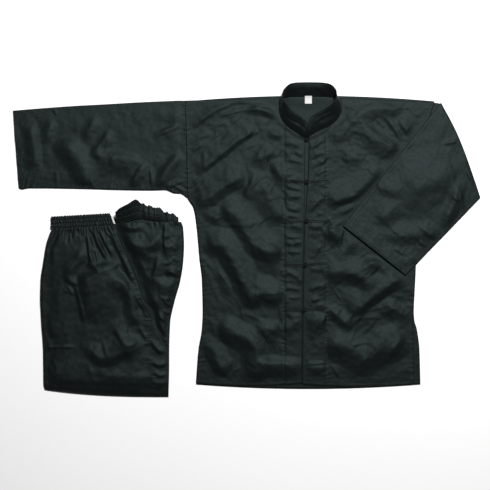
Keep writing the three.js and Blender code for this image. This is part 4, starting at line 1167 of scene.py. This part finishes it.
def surfaceTree(*pieces):
    points, faces = [], []
    for piece in pieces:
        start = len(points)
        points += [v.co.copy() for v in piece.data.vertices]
        faces += [[start + i for i in face.vertices] for face in piece.data.polygons]
    return BVHTree.FromPolygons(points, faces)


def heightOn(tree, x, y, place):
    hit = tree.ray_cast(Vector(((x + place[0]) / 1000, (y + place[1]) / 1000, 0.2)), Vector((0, 0, -1)))
    return hit[0].z * 1000 if hit[0] else 0.0


def restOn(tree, x, y, place, reach):  # the highest point within reach
    ring = [(0, 0)] + [(reach * math.cos(a), reach * math.sin(a)) for a in np.arange(0, 6.2, 0.78)]
    return max(heightOn(tree, x + dx, y + dy, place) for dx, dy in ring)


def cordPiece(name, path, up, radius, closed):  # a tube along a path
    sides, path = frog["sides"], np.array(path)
    ahead = np.roll(path, -1, 0) - np.roll(path, 1, 0)
    if not closed:
        ahead[0], ahead[-1] = path[1] - path[0], path[-1] - path[-2]
    ahead /= np.linalg.norm(ahead, axis=-1, keepdims=True)
    side = np.cross(up, ahead)
    side /= np.linalg.norm(side, axis=-1, keepdims=True)
    turn = np.linspace(0, 2 * math.pi, sides, endpoint=False)[None, :, None]
    ring = side[:, None] * np.cos(turn) + np.cross(ahead, side)[:, None] * np.sin(turn)
    points = [(path[:, None] + radius * ring).reshape(-1, 3)]
    index = np.arange(len(path) * sides).reshape(len(path), sides)
    run = np.concatenate([[0], np.cumsum(np.linalg.norm(np.diff(path, axis=0), axis=-1))])
    if closed:
        index = np.concatenate([index, index[:1]])
        run = np.append(run, run[-1] + np.linalg.norm(path[0] - path[-1]))
    around = 2 * math.pi * radius * np.arange(sides + 1) / sides
    cut = np.stack(np.meshgrid(run, around, indexing="ij"), -1).reshape(-1, 2) / 1000
    wide = np.arange(len(run) * (sides + 1)).reshape(len(run), sides + 1)
    faces, corners = [gridFaces(index, True)], [cut[gridFaces(wide, False)]]
    if not closed:
        for k, (end, rim, sign) in enumerate(((0, index[0], -1), (-1, index[-1][::-1], 1))):
            points.append((path[end] + 0.7 * radius * ahead[end] * sign)[None])
            tip = np.full(sides // 2, len(path) * sides + k)
            faces.append(np.stack([np.roll(rim, -2)[::2], np.roll(rim, -1)[::2], rim[::2], tip], -1))
            corners.append(np.zeros((len(tip), 4, 2)))
    points, faces, corners = np.concatenate(points), np.concatenate(faces), np.concatenate(corners)
    return makeMesh(name, points, faces, corners, np.zeros(len(points)), jacketPlace, cordCloth)


def levelled(heights):  # a cord bridges the hollows under it
    wide = np.array([max(heights[max(0, k - 2):k + 3]) for k in range(len(heights))])
    return np.convolve(np.pad(wide, 3, mode="edge"), np.ones(7) / 7, mode="valid")


def bridged(tree, point, runs, seat, near):  # heights of a cord that is sewn down, and up at the knot
    heights = [restOn(tree, *point(s, 0), jacketPlace, frog["under"]) for s in runs]
    heights = [max(h, seat - cloth["gap"]) if s < near else h for h, s in zip(heights, runs)]
    return levelled(heights) + frog["cord"] - frog["sewn"]


def doubled(point, runs, heights, merge):  # out along one side, round the end and home along the other
    apart = [frog["apart"] * min(1, s / merge) for s in runs]
    out = [(*point(s, -side), h) for s, side, h in zip(runs, apart, heights)][::-1]
    bend = []
    for a in np.linspace(math.pi, 0, 9)[1:-1]:
        bend.append((*point(runs[0] + frog["apart"] * math.sin(a), frog["apart"] * math.cos(a)), heights[0]))
    return out + bend + [(*point(s, side), h) for s, side, h in zip(runs, apart, heights)]


def buildFrog(number, row, tree):
    armX, armY, knotX, knotY, endX, endY, bow = row
    seat = restOn(tree, knotX, knotY, jacketPlace, frog["eye"] + frog["cord"]) + cloth["gap"]
    up = np.array([0, 0, 1.0])

    # Button: the doubled cord of its arm ends in a woven ball
    armLength = math.hypot(armX - knotX, armY - knotY)
    armAlongX, armAlongY = (knotX - armX) / armLength, (knotY - armY) / armLength

    def armPoint(s, offset):
        lean = bow * 4 * (1 - s / armLength) * (s / armLength)
        x = knotX - s * armAlongX - (lean + offset) * armAlongY
        return x, knotY - s * armAlongY - (lean - offset) * armAlongX

    runs = np.linspace(armLength, 2.5, 44)
    arm = doubled(armPoint, runs, bridged(tree, armPoint, runs, seat, 12), frog["merge"])
    t = np.linspace(0, 6 * math.pi, 216, endpoint=False)
    latitude = 0.95 * np.cos(4 * t / 3)
    radius = frog["ball"] + frog["weave"] * np.sin(8 * t / 3 - math.pi / 6)
    radial = np.stack([np.cos(latitude) * np.cos(t), np.sin(latitude), np.cos(latitude) * np.sin(t)], -1)
    woven = np.array([knotX, knotY, seat + frog["ballHeight"]]) + radial * radius[:, None]

    # Loop: its eye lies round the knot, over the button's arm, and its two strands run side by side
    length = math.hypot(endX - knotX, endY - knotY)
    ux, uy = (endX - knotX) / length, (endY - knotY) / length
    armTurn = math.atan2(armY - knotY, armX - knotX) - math.atan2(uy, ux)

    def loopPoint(s, offset):
        lean = bow * 4 * (s / length) * (1 - s / length) * (s > frog["eye"])
        return knotX + s * ux - (offset - lean) * uy, knotY + s * uy + (offset - lean) * ux

    runs = np.linspace(length, frog["eye"] * 1.35, 40)
    eye = doubled(loopPoint, runs, bridged(tree, loopPoint, runs, seat, 14), 1)
    for a in np.radians(np.linspace(24, 336, 40)):
        over = 1 + math.cos(a - armTurn)
        point = loopPoint(frog["eye"] * math.cos(a), frog["eye"] * math.sin(a))
        eye.append((*point, seat + frog["cord"] + 1.2 * over * smooth(over / 1.2)))
    dress(cordPiece(f"frog{number}Arm", arm, up, frog["cord"], False), "cord", f"frog_{number}_button")
    dress(cordPiece(f"frog{number}Knot", woven, radial, frog["knotCord"], True), "cord")
    dress(cordPiece(f"frog{number}Eye", eye, up, frog["cord"], True), "cord", f"frog_{number}_loop")


frontTree = surfaceTree(frontRight, frontLeft, underlap)
for number, row in enumerate(frogRows, 1):
    buildFrog(number, row, frontTree)
print("frogs made")


# Stitches: Geometry Nodes set a stitch at each pitch along the seams, which are lines on the cloth.

stitch = {"pitch": 3.4, "length": 2.5, "width": 0.6, "sunk": 0.08, "tackPitch": 0.8, "tackLength": 1.6}


def stitchTree():
    tree = bpy.data.node_groups.new("stitches", "GeometryNodeTree")
    kinds = {
        "Seams": "Geometry", "Pitch": "Float", "Length": "Float", "Width": "Float",
        "Thread": "Material",
    }
    for title, kind in kinds.items():
        tree.interface.new_socket(title, in_out="INPUT", socket_type="NodeSocket" + kind)
    tree.interface.new_socket("Stitches", in_out="OUTPUT", socket_type="NodeSocketGeometry")

    def node(kind, **links):
        made = tree.nodes.new(kind)
        for key, socket in links.items():
            tree.links.new(socket, made.inputs[key.replace("_", " ")])
        return made

    given = node("NodeGroupInput").outputs
    curve = node("GeometryNodeMeshToCurve", Mesh=given["Seams"])
    points = node("GeometryNodeCurveToPoints", Curve=curve.outputs["Curve"])
    points.mode = "LENGTH"
    tree.links.new(given["Pitch"], points.inputs["Length"])
    bead = node("GeometryNodeMeshUVSphere")
    for key, value in (("Segments", 6), ("Rings", 4), ("Radius", 0.5)):
        bead.inputs[key].default_value = value
    size = node("ShaderNodeCombineXYZ", X=given["Width"], Y=given["Width"], Z=given["Length"])
    placed = node(
        "GeometryNodeInstanceOnPoints",
        Points=points.outputs["Points"],
        Instance=bead.outputs["Mesh"],
        Rotation=points.outputs["Rotation"],
        Scale=size.outputs["Vector"],
    )
    real = node("GeometryNodeRealizeInstances", Geometry=placed.outputs["Instances"])
    dressed = node("GeometryNodeSetMaterial", Geometry=real.outputs["Geometry"], Material=given["Thread"])
    node("NodeGroupOutput", Stitches=dressed.outputs["Geometry"])
    return tree


stitchMaker = stitchTree()


def sewn(name, seams, place, pitch=stitch["pitch"], length=stitch["length"]):
    points, edges = [], []
    for seam in seams:
        start = len(points)
        points += ((np.array(seam) + [*place, -stitch["sunk"]]) / 1000).tolist()
        edges += [(start + k, start + k + 1) for k in range(len(seam) - 1)]
    mesh = bpy.data.meshes.new(name)
    mesh.from_pydata(points, edges, [])
    piece = bpy.data.objects.new(name, mesh)
    scene.collection.objects.link(piece)
    maker = piece.modifiers.new("stitches", "NODES")
    maker.node_group = stitchMaker
    sizes = {"Pitch": pitch, "Length": length, "Width": stitch["width"]}
    values = {"Thread": thread, **{key: size / 1000 for key, size in sizes.items()}}
    for item in stitchMaker.interface.items_tree:
        if item.in_out == "INPUT" and item.name in values:
            maker[item.identifier] = values[item.name]
    bpy.context.view_layer.update()
    made = bpy.data.meshes.new_from_object(piece.evaluated_get(bpy.context.evaluated_depsgraph_get()))
    piece.modifiers.remove(maker)
    piece.data = made
    made.name = name
    return dress(piece, "cloth")


def onSurface(tree, courses, place):
    return [(x, y, heightOn(tree, x, y, place)) for x, y in courses]


def sewnLine(tree, start, end, step=3.0):  # a straight seam on the jacket's cloth
    return onSurface(tree, np.linspace(start, end, int(math.dist(start, end) / step) + 2), jacketPlace)


def gridLine(shape, rows, columns):  # a seam along part of a shell's outer grid
    return shape[0][rows, columns].reshape(-1, 3)


underarmRows = slice(262, None)
jacketSeams = [
    sewnLine(frontTree, (-54.5, -104), (-54.5, -706)),
    sewnLine(frontTree, (54.5, -92), (54.5, -706)),
    gridLine(rightFront, -4, slice(2, -2)),
    gridLine(leftFront, -4, slice(2, -2)),
    gridLine(rightFront, underarmRows, -5),
    gridLine(leftFront, underarmRows, -5),
    gridLine(rightFront, slice(2, 106), -3),
    gridLine(leftFront, slice(4, 60), -3),
]
jacketStitches = sewn("jacketStitches", jacketSeams, jacketPlace)
tacks = [sewnLine(frontTree, (x, -659), (x + 8, -659), step=1) for x in (-267, 262)]
ventTacks = sewn("ventTacks", tacks, jacketPlace, stitch["tackPitch"], stitch["tackLength"])

sleeveTree = surfaceTree(sleeveRight, sleeveLeft)
cuffSeams = [
    sewnLine(sleeveTree, (-731 + sleeve["rightHem"], -37), (-718 + sleeve["rightHem"], -226)),
    sewnLine(sleeveTree, (119, -293), (276.5, -419.5)),
]
cuffStitches = sewn("cuffStitches", cuffSeams, jacketPlace)
collarStitches = sewn("collarStitches", [face[26] for face in collarShape[:2]], jacketPlace)
print("jacket stitched")


# Trousers, folded in half lengthways and then up: hidden layers, the top leg, the leg under it, and the
# gathered waist.

trousers = {
    "core": 5.2,
    "dome": 4.5,
    "curl": 9,
    "foot": 19,
    "strip": 3.6,
    "billow": 8,
    "layers": 4,
    "layerSteps": 6,
    "rim": 1.5,
}

topLegRows = table("below left right tilt", [
    [-190, -147.5, 9.5, 9],
    [-175, -154, 20, 0],
    [-152, -161.5, 30, 0],
    [-102, -170, 52.5, 0],
    [-58, -176, 70, 0],
    [-8, -177, 87.5, 0],
    [12, -176, 100, 0],
    [50, -174, 112.5, 0],
    [88, -171, 127.5, 0],
    [118, -169.5, 142.5, 0],
    [158, -169, 146.8, 0],
    [200, -168.5, 146, 0],
    [214, -165, 145, -17.5],
])

underLegRows = table("below left right", [
    [-207, -20, 177],
    [-194, -12, 181.8],
    [-147, 6, 184.3],
    [-103, 26, 181.8],
    [-58, 42, 174.5],
    [-8, 60, 160.5],
    [47, 84, 149.3],
    [110, 110, 147],
    [170, 118, 146.8],
])

coreRows = table("below left right", [
    [-214, -134, 160],
    [-204, -136, 165],
    [-190, -138, 171],
    [-147, -152, 174],
    [-102, -160, 171],
    [-58, -166, 163.5],
    [-8, -167, 151],
    [47, -164, 145.5],
    [110, -160, 144.5],
    [204, -158, 143],
])

topLegRidges = [
    (6, 26, 22, [(-66, 146), (-76, 118), (-92, 96), (-112, 66)]),
    (4, 12, 22, [(-116, 74), (-96, 58), (-74, 53)]),
    (3.6, 10, 70, [(-88, 54), (-80, 30), (-71, -5), (-64, -50)]),
    (15, 120, 24, [(-82, 56), (-45, 66), (-18, 84), (8, 108)]),
    (4, 14, 80, [(-165, -188), (-60, -191), (60, -196), (140, -200)]),
    (4, 14, 18, [(-62, 112), (-40, 96), (-20, 86), (6, 96), (20, 118)]),
    (8, 26, 22, [(-10, 60), (14, 66), (36, 52), (50, 24), (56, -14), (68, -54)]),
    (5, 38, 14, [(-14, 56), (8, 62), (34, 50), (44, 20)]),
    (5, 7, 15, [(-60, 186), (-53, 150), (-50, 118), (-45, 90)]),
    (5, 8, 13, [(-41, 188), (-31, 158), (-17, 130), (0, 106)]),
    (4, 7, 11, [(-27, 188), (-11, 152), (8, 122)]),
    (4, 7, 10, [(-73, 190), (-71, 150), (-69, 124)]),
    (3.5, 8, 14, [(-118, 190), (-130, 165), (-146, 140)]),
    (3.5, 9, 18, [(26, 128), (45, 96), (64, 54), (80, 14)]),
    (5, 12, 40, [(14, -50), (24, -78), (44, -98), (58, -92), (66, -72)]),
    (5.5, 44, 22, [(10, -84), (30, -98), (54, -104), (84, -84)]),
    (8, 24, 42, [(-54, -96), (-36, -124), (-10, -134), (18, -122), (40, -112), (62, -128)]),
    (3, 9, 22, [(-16, -86), (-11, -112), (-3, -136)]),
    (2.4, 18, 30, [(-150, -20), (-148, -50), (-144, -84)]),
    (1.6, 14, 22, [(-40, -168), (0, -176), (50, -180)]),
    (3, 12, 20, [(-150, 150), (-142, 128), (-148, 96)]),
    (4, 8, 16, [(102, -20), (118, -44), (142, -72)]),
    (4.5, 10, 16, [(102, -88), (118, -110), (142, -122)]),
    (4.5, 9, 12, [(102, -142), (122, -150), (146, -144)]),
    (3.5, 7, 10, [(108, -166), (124, -176), (146, -172)]),
    (3.5, 7, 10, [(104, -188), (120, -198), (144, -194)]),
]

topLegCreases = table(foldColumns, [
    [-170, -108, -78, -105, 0, 1.5, 4, 9],
    [-108, 48, -92, 24, 0, 1.8, 6, 10],
    [-52, 130, -30, 78, 0, 2, 5, 9],
    [-40, 152, -28, 92, 0, 2, 5, 9],
    [-118, 38, -102, 30, 0, 1.0, 5, 7],
    [-150, -130, -128, -165, 0, 0.9, 7, 10],
    [72, -52, 92, -88, 0, 1.8, 7, 10],
    [-160, -75, -148, -118, 0, 1.0, 7, 10],
    [-155, -150, -140, -182, 0, 1.2, 7, 10],
    [-52, -150, -40, -196, 0, 1.0, 8, 12],
])

waistTroughs = table(foldColumns, [
    [-132, 188, -157, 132, 0, -3, 7, 9],
    [-120, 188, -145, 148, 0, -2.2, 9, 9],
    [-102, 191, -108, 150, 0, -2.4, 6, 7],
    [-98, 188, -95, 162, 0, -2.4, 5, 5],
    [-85, 190, -75, 172, 0, -2.4, 5, 6],
    [-72, 193, -70, 122, 0, -3, 7, 7],
    [-55, 195, -32, 132, 0, -3, 7, 8],
    [-38, 193, 2, 112, 0, -3.2, 8, 8],
    [-25, 193, 2, 162, 0, -2.8, 6, 6],
    [-18, 196, 8, 170, 0, -2.4, 5, 5],
    [-5, 196, 18, 178, 0, -2.4, 5, 5],
])

underLegRidges = [
    (7.5, 24, 34, [(36, 172), (58, 152), (88, 145), (112, 156), (128, 186)]),
    (2, 6, 9, [(126, 178), (139, 170), (152, 174)]),
    (1.6, 5, 7, [(134, 150), (144, 143), (154, 148)]),
    (1.8, 6, 9, [(130, 106), (142, 103), (158, 112)]),
    (2, 7, 9, [(120, 22), (137, 14), (154, 20)]),
    (5, 13, 16, [(24, 206), (50, 192), (84, 196)]),
    (5, 8, 22, [(140, 212), (138, 186), (137, 150), (144, 118)]),
    (4.5, 11, 26, [(120, 128), (118, 102), (112, 80), (107, 56)]),
    (3, 18, 16, [(74, 132), (96, 124), (112, 112)]),
    (4, 11, 14, [(134, 82), (156, 84), (178, 70)]),
    (5, 30, 22, [(84, 58), (108, 66), (140, 50), (172, 52)]),
    (7, 10, 24, [(104, -24), (122, -54), (150, -84)]),
    (4, 9, 16, [(112, -14), (130, -34), (150, -46)]),
    (4, 8, 13, [(103, -144), (125, -148), (148, -150)]),
]

underLegCreases = table(foldColumns, [
    [138, 82, 172, 70, 3, 3, 7, 10],
    [70, 175, 84, 168, 0, 2, 5, 8],
    [152, 190, 160, 168, 0, 2, 5, 8],
    [150, 150, 166, 134, 0, 2, 5, 8],
    [154, 118, 172, 108, 0, 1.6, 5, 7],
    [132, 10, 156, -6, 0, 2, 6, 8],
    [128, -14, 150, -24, 0, 1.8, 5, 8],
    [112, -142, 144, -150, 0, 2.2, 5, 7],
    [112, -165, 144, -175, 0, 2, 5, 6],
    [110, -185, 142, -196, 0, 2, 5, 6],
    [112, -105, 140, -118, 0, 1.6, 6, 9],
    [124, -160, 120, -200, 0, 1.4, 5, 7],
])


def dome(x, y):  # how high the hidden layers swell under the top leg
    left, right = columns(topLegRows, "left right", np.maximum(-y, ends(topLegRows)[0]))
    inside = smooth((x - left - 10) / 50) * smooth((right - 45 - x) / 50)
    return trousers["dome"] * inside * smooth((190 - y) / 70) * smooth((y + 232) / 24)


def coreShell():
    u, v = grid(90, 110)
    below = mix(*ends(coreRows), v)
    x, y = mix(*columns(coreRows, "left right", below), u), -below
    border = eased(np.minimum(np.minimum(u, 1 - u), np.minimum(v, 1 - v)), 0.06)
    top = trousers["core"] + dome(x, y) * border
    # Paler round the border: partly edge wear, partly painted highlight on the folded edges
    return laid(x, y, top, 0.5 * (1 - border), wall=top)


def layerEdges():  # each hidden layer's fold is a half round, with a groove between
    count = trousers["layers"] * trousers["layerSteps"]
    layers = math.pi * trousers["layers"]
    return [(k / count, 1.5 * abs(math.sin(layers * k / count)) ** 0.6 + 0.2) for k in range(1, count)]


layerNode = "trousers_folded_layers"
core = addCloth(
    sheetPiece, "trousersLayers", coreShell(), trousersPlace, "cloth", layerNode, rings=layerEdges()
)

inseamCourse = table("below x", [[-20, 84], [20, 91], [80, 94.5], [130, 98.5], [182, 110]])


def inseamX(y):
    return np.interp(-y, inseamCourse["below"], inseamCourse["x"])


def curled(x, y, rest, turnX, turnY, sunk):  # the wall follows the cloth round its folded edges
    z, wall = mix(trousers["rim"], rest, sunk), cloth["thickness"]
    inner = np.stack([x + wall * turnX, y + wall * turnY, z - wall * sunk], -1)
    return np.stack([x, y, z], -1), inner, np.stack([x, y], -1) / 1000


def topLegShell():
    us = np.append(np.linspace(0, 0.045, 12), np.linspace(0.045, 1, 124)[1:])
    vs = np.append(np.linspace(0, 0.965, 150), np.linspace(0.965, 1, 12)[1:])
    u, v = np.meshgrid(us, vs)
    first, last = ends(topLegRows)
    below = mix(first, last, v)
    left, right, tilt = columns(topLegRows, "left right tilt", below)
    x, y = mix(left, right, u), -below + tilt * np.where(below < 0, u, 1 - (1 - u) ** 2.7)
    fromLeft, fromRight, fromFoot, fromTop = x - left, right - x, last - below, below - first
    turnX, turnY = 1 - clamp(fromLeft / trousers["curl"]), 1 - clamp(fromFoot / trousers["foot"])
    sunk = np.sqrt(1 - turnX**2) * np.sqrt(1 - turnY**2)
    strip = trousers["strip"] * smooth((45 - below) / 60) * smooth((below + 185) / 40)
    roll = eased(fromRight, 3) * (1 - smooth((fromRight - 15) / 9))
    roll += 0.45 * puckers(y, np.abs(fromRight - 9), 10, 9, 84)
    calm = eased(fromLeft, 35) * eased(fromRight, 20) * eased(fromFoot, 40) * eased(fromTop, 30)
    near = eased(fromLeft, 10) * eased(fromRight, 8) * eased(fromFoot, 8)
    ribs = 0.7 * np.cos(2 * math.pi * 21 * (u + 0.012 * np.sin(25 * u))) * (1 - eased(fromTop, 30))
    gathers = 2.9 * (1 - eased(fromTop, 75)) + ribs + foldLift(waistTroughs, x, y)
    lift = ridgeLift(topLegRidges, x, y) * calm + strip * roll
    lift += gathers * eased(fromLeft, 12) * eased(fromRight, 5)
    fromSeam = np.abs(x - inseamX(y))
    seam = (2.1 * puckers(y, fromSeam, 9, 7, 83) - 0.5 * groove(fromSeam, 1.3)) * smooth((below - 5) / 20)
    lift += (foldLift(topLegCreases, x, y, 1.2) + uneven(x, y, (0.6, 55), (0.25, 19), 81) + seam) * near
    rest = trousers["core"] + 3 + dome(x, y) + np.maximum(lift, -0.4)
    # Paler along the left, right and foot edges: partly edge wear, partly painted highlight
    wearAndHighlight = 0.15 * np.exp(-np.minimum(fromLeft, np.minimum(fromRight, fromFoot)) / 3)
    return *curled(x, y, rest, turnX, turnY, sunk), wearAndHighlight


topLeg = addCloth(sheetPiece, "trousersTopLeg", topLegShell(), trousersPlace, "cloth", "trousers_top_leg")


billowRows = table("below share", [
    [-200, 0.7],
    [-150, 1],
    [-100, 0.8],
    [-70, 0.45],
    [-10, 1],
    [30, 0.6],
    [60, 0],
])


def underLegShell():
    us = np.append(np.linspace(0, 0.95, 80), np.linspace(0.95, 1, 12)[1:])
    u, v = np.meshgrid(us, np.linspace(0, 1, 130))
    first, last = ends(underLegRows)
    below = mix(first, last, v)
    left, right = columns(underLegRows, "left right", below)
    x, y = mix(left, right, u), -below
    shown = x - along(topLegRows, "right", np.maximum(below, ends(topLegRows)[0]))
    turn = (1 - clamp((right - x) / 6)) * (1 - smooth((below - 20) / 40))
    fromRight, fromFoot, fromTop = right - x, last - below, below - first
    near = smooth((shown - 2) / 6) * eased(fromRight, 5) * eased(fromFoot, 6)
    deep = np.interp(below, billowRows["below"], billowRows["share"])
    ruffle = (1 - eased(fromTop, 26)) * smooth((x - 30) / 20)
    calm = smooth((shown - 3) / 16) * eased(fromRight, 20) * eased(fromFoot, 25)
    lift = ridgeLift(underLegRidges, x, y) * calm
    lift += trousers["billow"] * deep * smooth((shown - 1) / 30) * eased(fromRight, 28)
    small = foldLift(underLegCreases, x, y) + 1.4 * puckers(y, fromRight, 11, 9, 91)
    small += ruffle * (0.8 + 0.9 * np.sin(2 * math.pi * (x + 5 * np.sin(x / 9) + 0.3 * y) / 19))
    lift += (small + uneven(x, y, (0.5, 45), (0.25, 17), 92)) * near
    rest = trousers["core"] + 1.5 + np.maximum(lift, -0.2)
    # Paler along the right and foot edges: partly edge wear, partly painted highlight
    wearAndHighlight = 0.15 * np.exp(-np.minimum(fromRight, fromFoot) / 3)
    return *curled(x, y, rest, -turn, 0, np.sqrt(1 - turn**2)), wearAndHighlight


underLeg = addCloth(
    sheetPiece, "trousersUnderLeg", underLegShell(), trousersPlace, "cloth", "trousers_under_leg"
)
print("trouser legs made")


# Waistband: elastic in a casing, stitched in rows that draw it into fine gathers.

band = {"gathers": 27, "puff": 0.9, "gather": 1.0, "rows": 3, "thickness": 1.0, "backRun": 160, "height": 30}
bandEnds = {"right": ((-147.3, 220.5), (-147.5, 191.2)), "left": ((-1, 229), (9, 200))}


def bandPlace(u, v):
    (top, foot), (topLeft, footLeft) = bandEnds["right"], bandEnds["left"]
    return [mix(mix(top[k], foot[k], v), mix(topLeft[k], footLeft[k], v), u) for k in (0, 1)]


def frontBandShell():
    u, v = grid(260, 40)
    x, y = bandPlace(u, v)
    row = np.floor(np.clip(v, 0, 0.999) * band["rows"])
    wave = np.sin(band["rows"] * math.pi * v)
    drift = 0.35 * np.sin(17 * u + 1.3 * row) + 0.2 * np.sin(41 * u + 2.1 * row)
    phase = 2 * math.pi * (band["gathers"] * u + drift)
    puff = band["puff"] * np.sqrt(np.abs(wave))
    gather = band["gather"] * (1 + np.cos(phase + 0.5 * wave)) + 0.3 * np.sin(2.7 * phase + row)
    top = mix(7.2, 8.8, v) + puff + gather * (0.5 + 0.5 * np.abs(wave))
    outer = np.stack([x, y + 0.8 * np.cos(phase) * (1 - eased(v, 0.1)), top], -1)
    # Paler on the puffs between stitch rows: partly wear, partly painted highlight on their crests
    return outer, outer - [0, 0, band["thickness"]], np.stack([x, y], -1) / 1000, 0.12 * np.abs(wave)


frontBandShape = frontBandShell()
frontBand = addCloth(
    sheetPiece, "waistbandFront", frontBandShape, trousersPlace, "casing", "waistband_front",
)

waistBackRows = table("place rimX rimY rimZ footX footY footZ", [
    [0, 14, 231, 24, 17, 207, 13],
    [1, 26, 241, 30, 36, 208.5, 11],
    [2, 45, 251, 30, 54, 212, 10],
    [3, 65, 262.5, 24, 70, 215, 10],
    [4, 78, 254, 14, 82, 216, 10],
    [5, 95, 247.5, 11, 98, 213, 9.6],
    [6, 120, 242.5, 10, 122, 210, 9.6],
    [7, 137, 232, 10, 140, 203, 9.6],
    [8, 155, 227.5, 9, 155, 199, 9.6],
    [9, 170, 220.5, 8, 171, 197.5, 9],
])


def backBandShell():
    u, v = grid(260, 40)
    rim = columns(waistBackRows, "rimX rimY rimZ", 9 * u)
    foot = columns(waistBackRows, "footX footY footZ", 9 * u)
    x, y, z = (mix(a, b, v) for a, b in zip(rim, foot))
    ruffled = smooth((9 * u - 3) / 1.5)
    wave = ruffled * (1 - 0.6 * v) * np.sin(2 * math.pi * 9 * u + 0.9 * np.sin(23 * u))
    fine = (0.25 + 0.75 * ruffled) * np.sin(2 * math.pi * 31 * u + 1.5 * np.sin(19 * u) + 0.6 * v)
    coarse = np.sin(2 * math.pi * 6.3 * u + 1.6 * np.sin(21 * u) + 1.1 * v) * ruffled * (1 - 0.4 * v)
    rows = np.sqrt(np.abs(np.sin(band["rows"] * math.pi * v)))
    y += 2 * wave * (1 - v) + 0.8 * fine * (1 - eased(v, 0.15))
    z += 1.2 + 1.6 * wave + 3 * np.sin(math.pi * v) * ruffled + 1.3 * coarse
    z += (0.1 + 0.35 * ruffled) * fine + (0.45 - 0.15 * ruffled) * (rows - 0.6)
    outer, cut = np.stack([x, y, z], -1), np.stack([band["backRun"] * u, band["height"] * v], -1) / 1000
    # The colour is paler over the ruffled part
    return outer, outer - [0, 0, band["thickness"]], cut, 0.1 * ruffled


backBandShape = backBandShell()
backBand = addCloth(sheetPiece, "waistbandBack", backBandShape, trousersPlace, "casing", "waistband_back")

tag = {"from": 0.2, "to": 0.87, "width": 4.4, "height": 9.2, "crown": 0.5, "thickness": 0.6}


def waistLabelShell():
    u, v = grid(12, 30)
    (topX, topY), (footX, footY) = bandEnds["left"]
    down = mix(tag["from"], tag["to"], v)
    x = mix(topX, footX, down) + cloth["gap"] + tag["width"] * u
    top = tag["height"] + tag["crown"] * np.sin(math.pi * u)
    return laid(x, mix(topY, footY, down) - 1.5 * u, top, 0 * u, tag["thickness"])


waistLabel = addCloth(
    sheetPiece, "waistLabel", waistLabelShell(), trousersPlace, "label", "waist_label", whiteTape
)
print("waist made")


inseam = [(inseamX(y) + 3, y) for y in range(4, -204, -4)]
inseamSeam = onSurface(surfaceTree(topLeg), inseam, trousersPlace)
inseamStitches = sewn("inseamStitches", [inseamSeam], trousersPlace)
bandSeams = [shape[0][row] for shape in (frontBandShape, backBandShape) for row in (1, 13, 26, 38)]
waistStitches = sewn("waistStitches", bandSeams, trousersPlace)
print("trousers stitched")
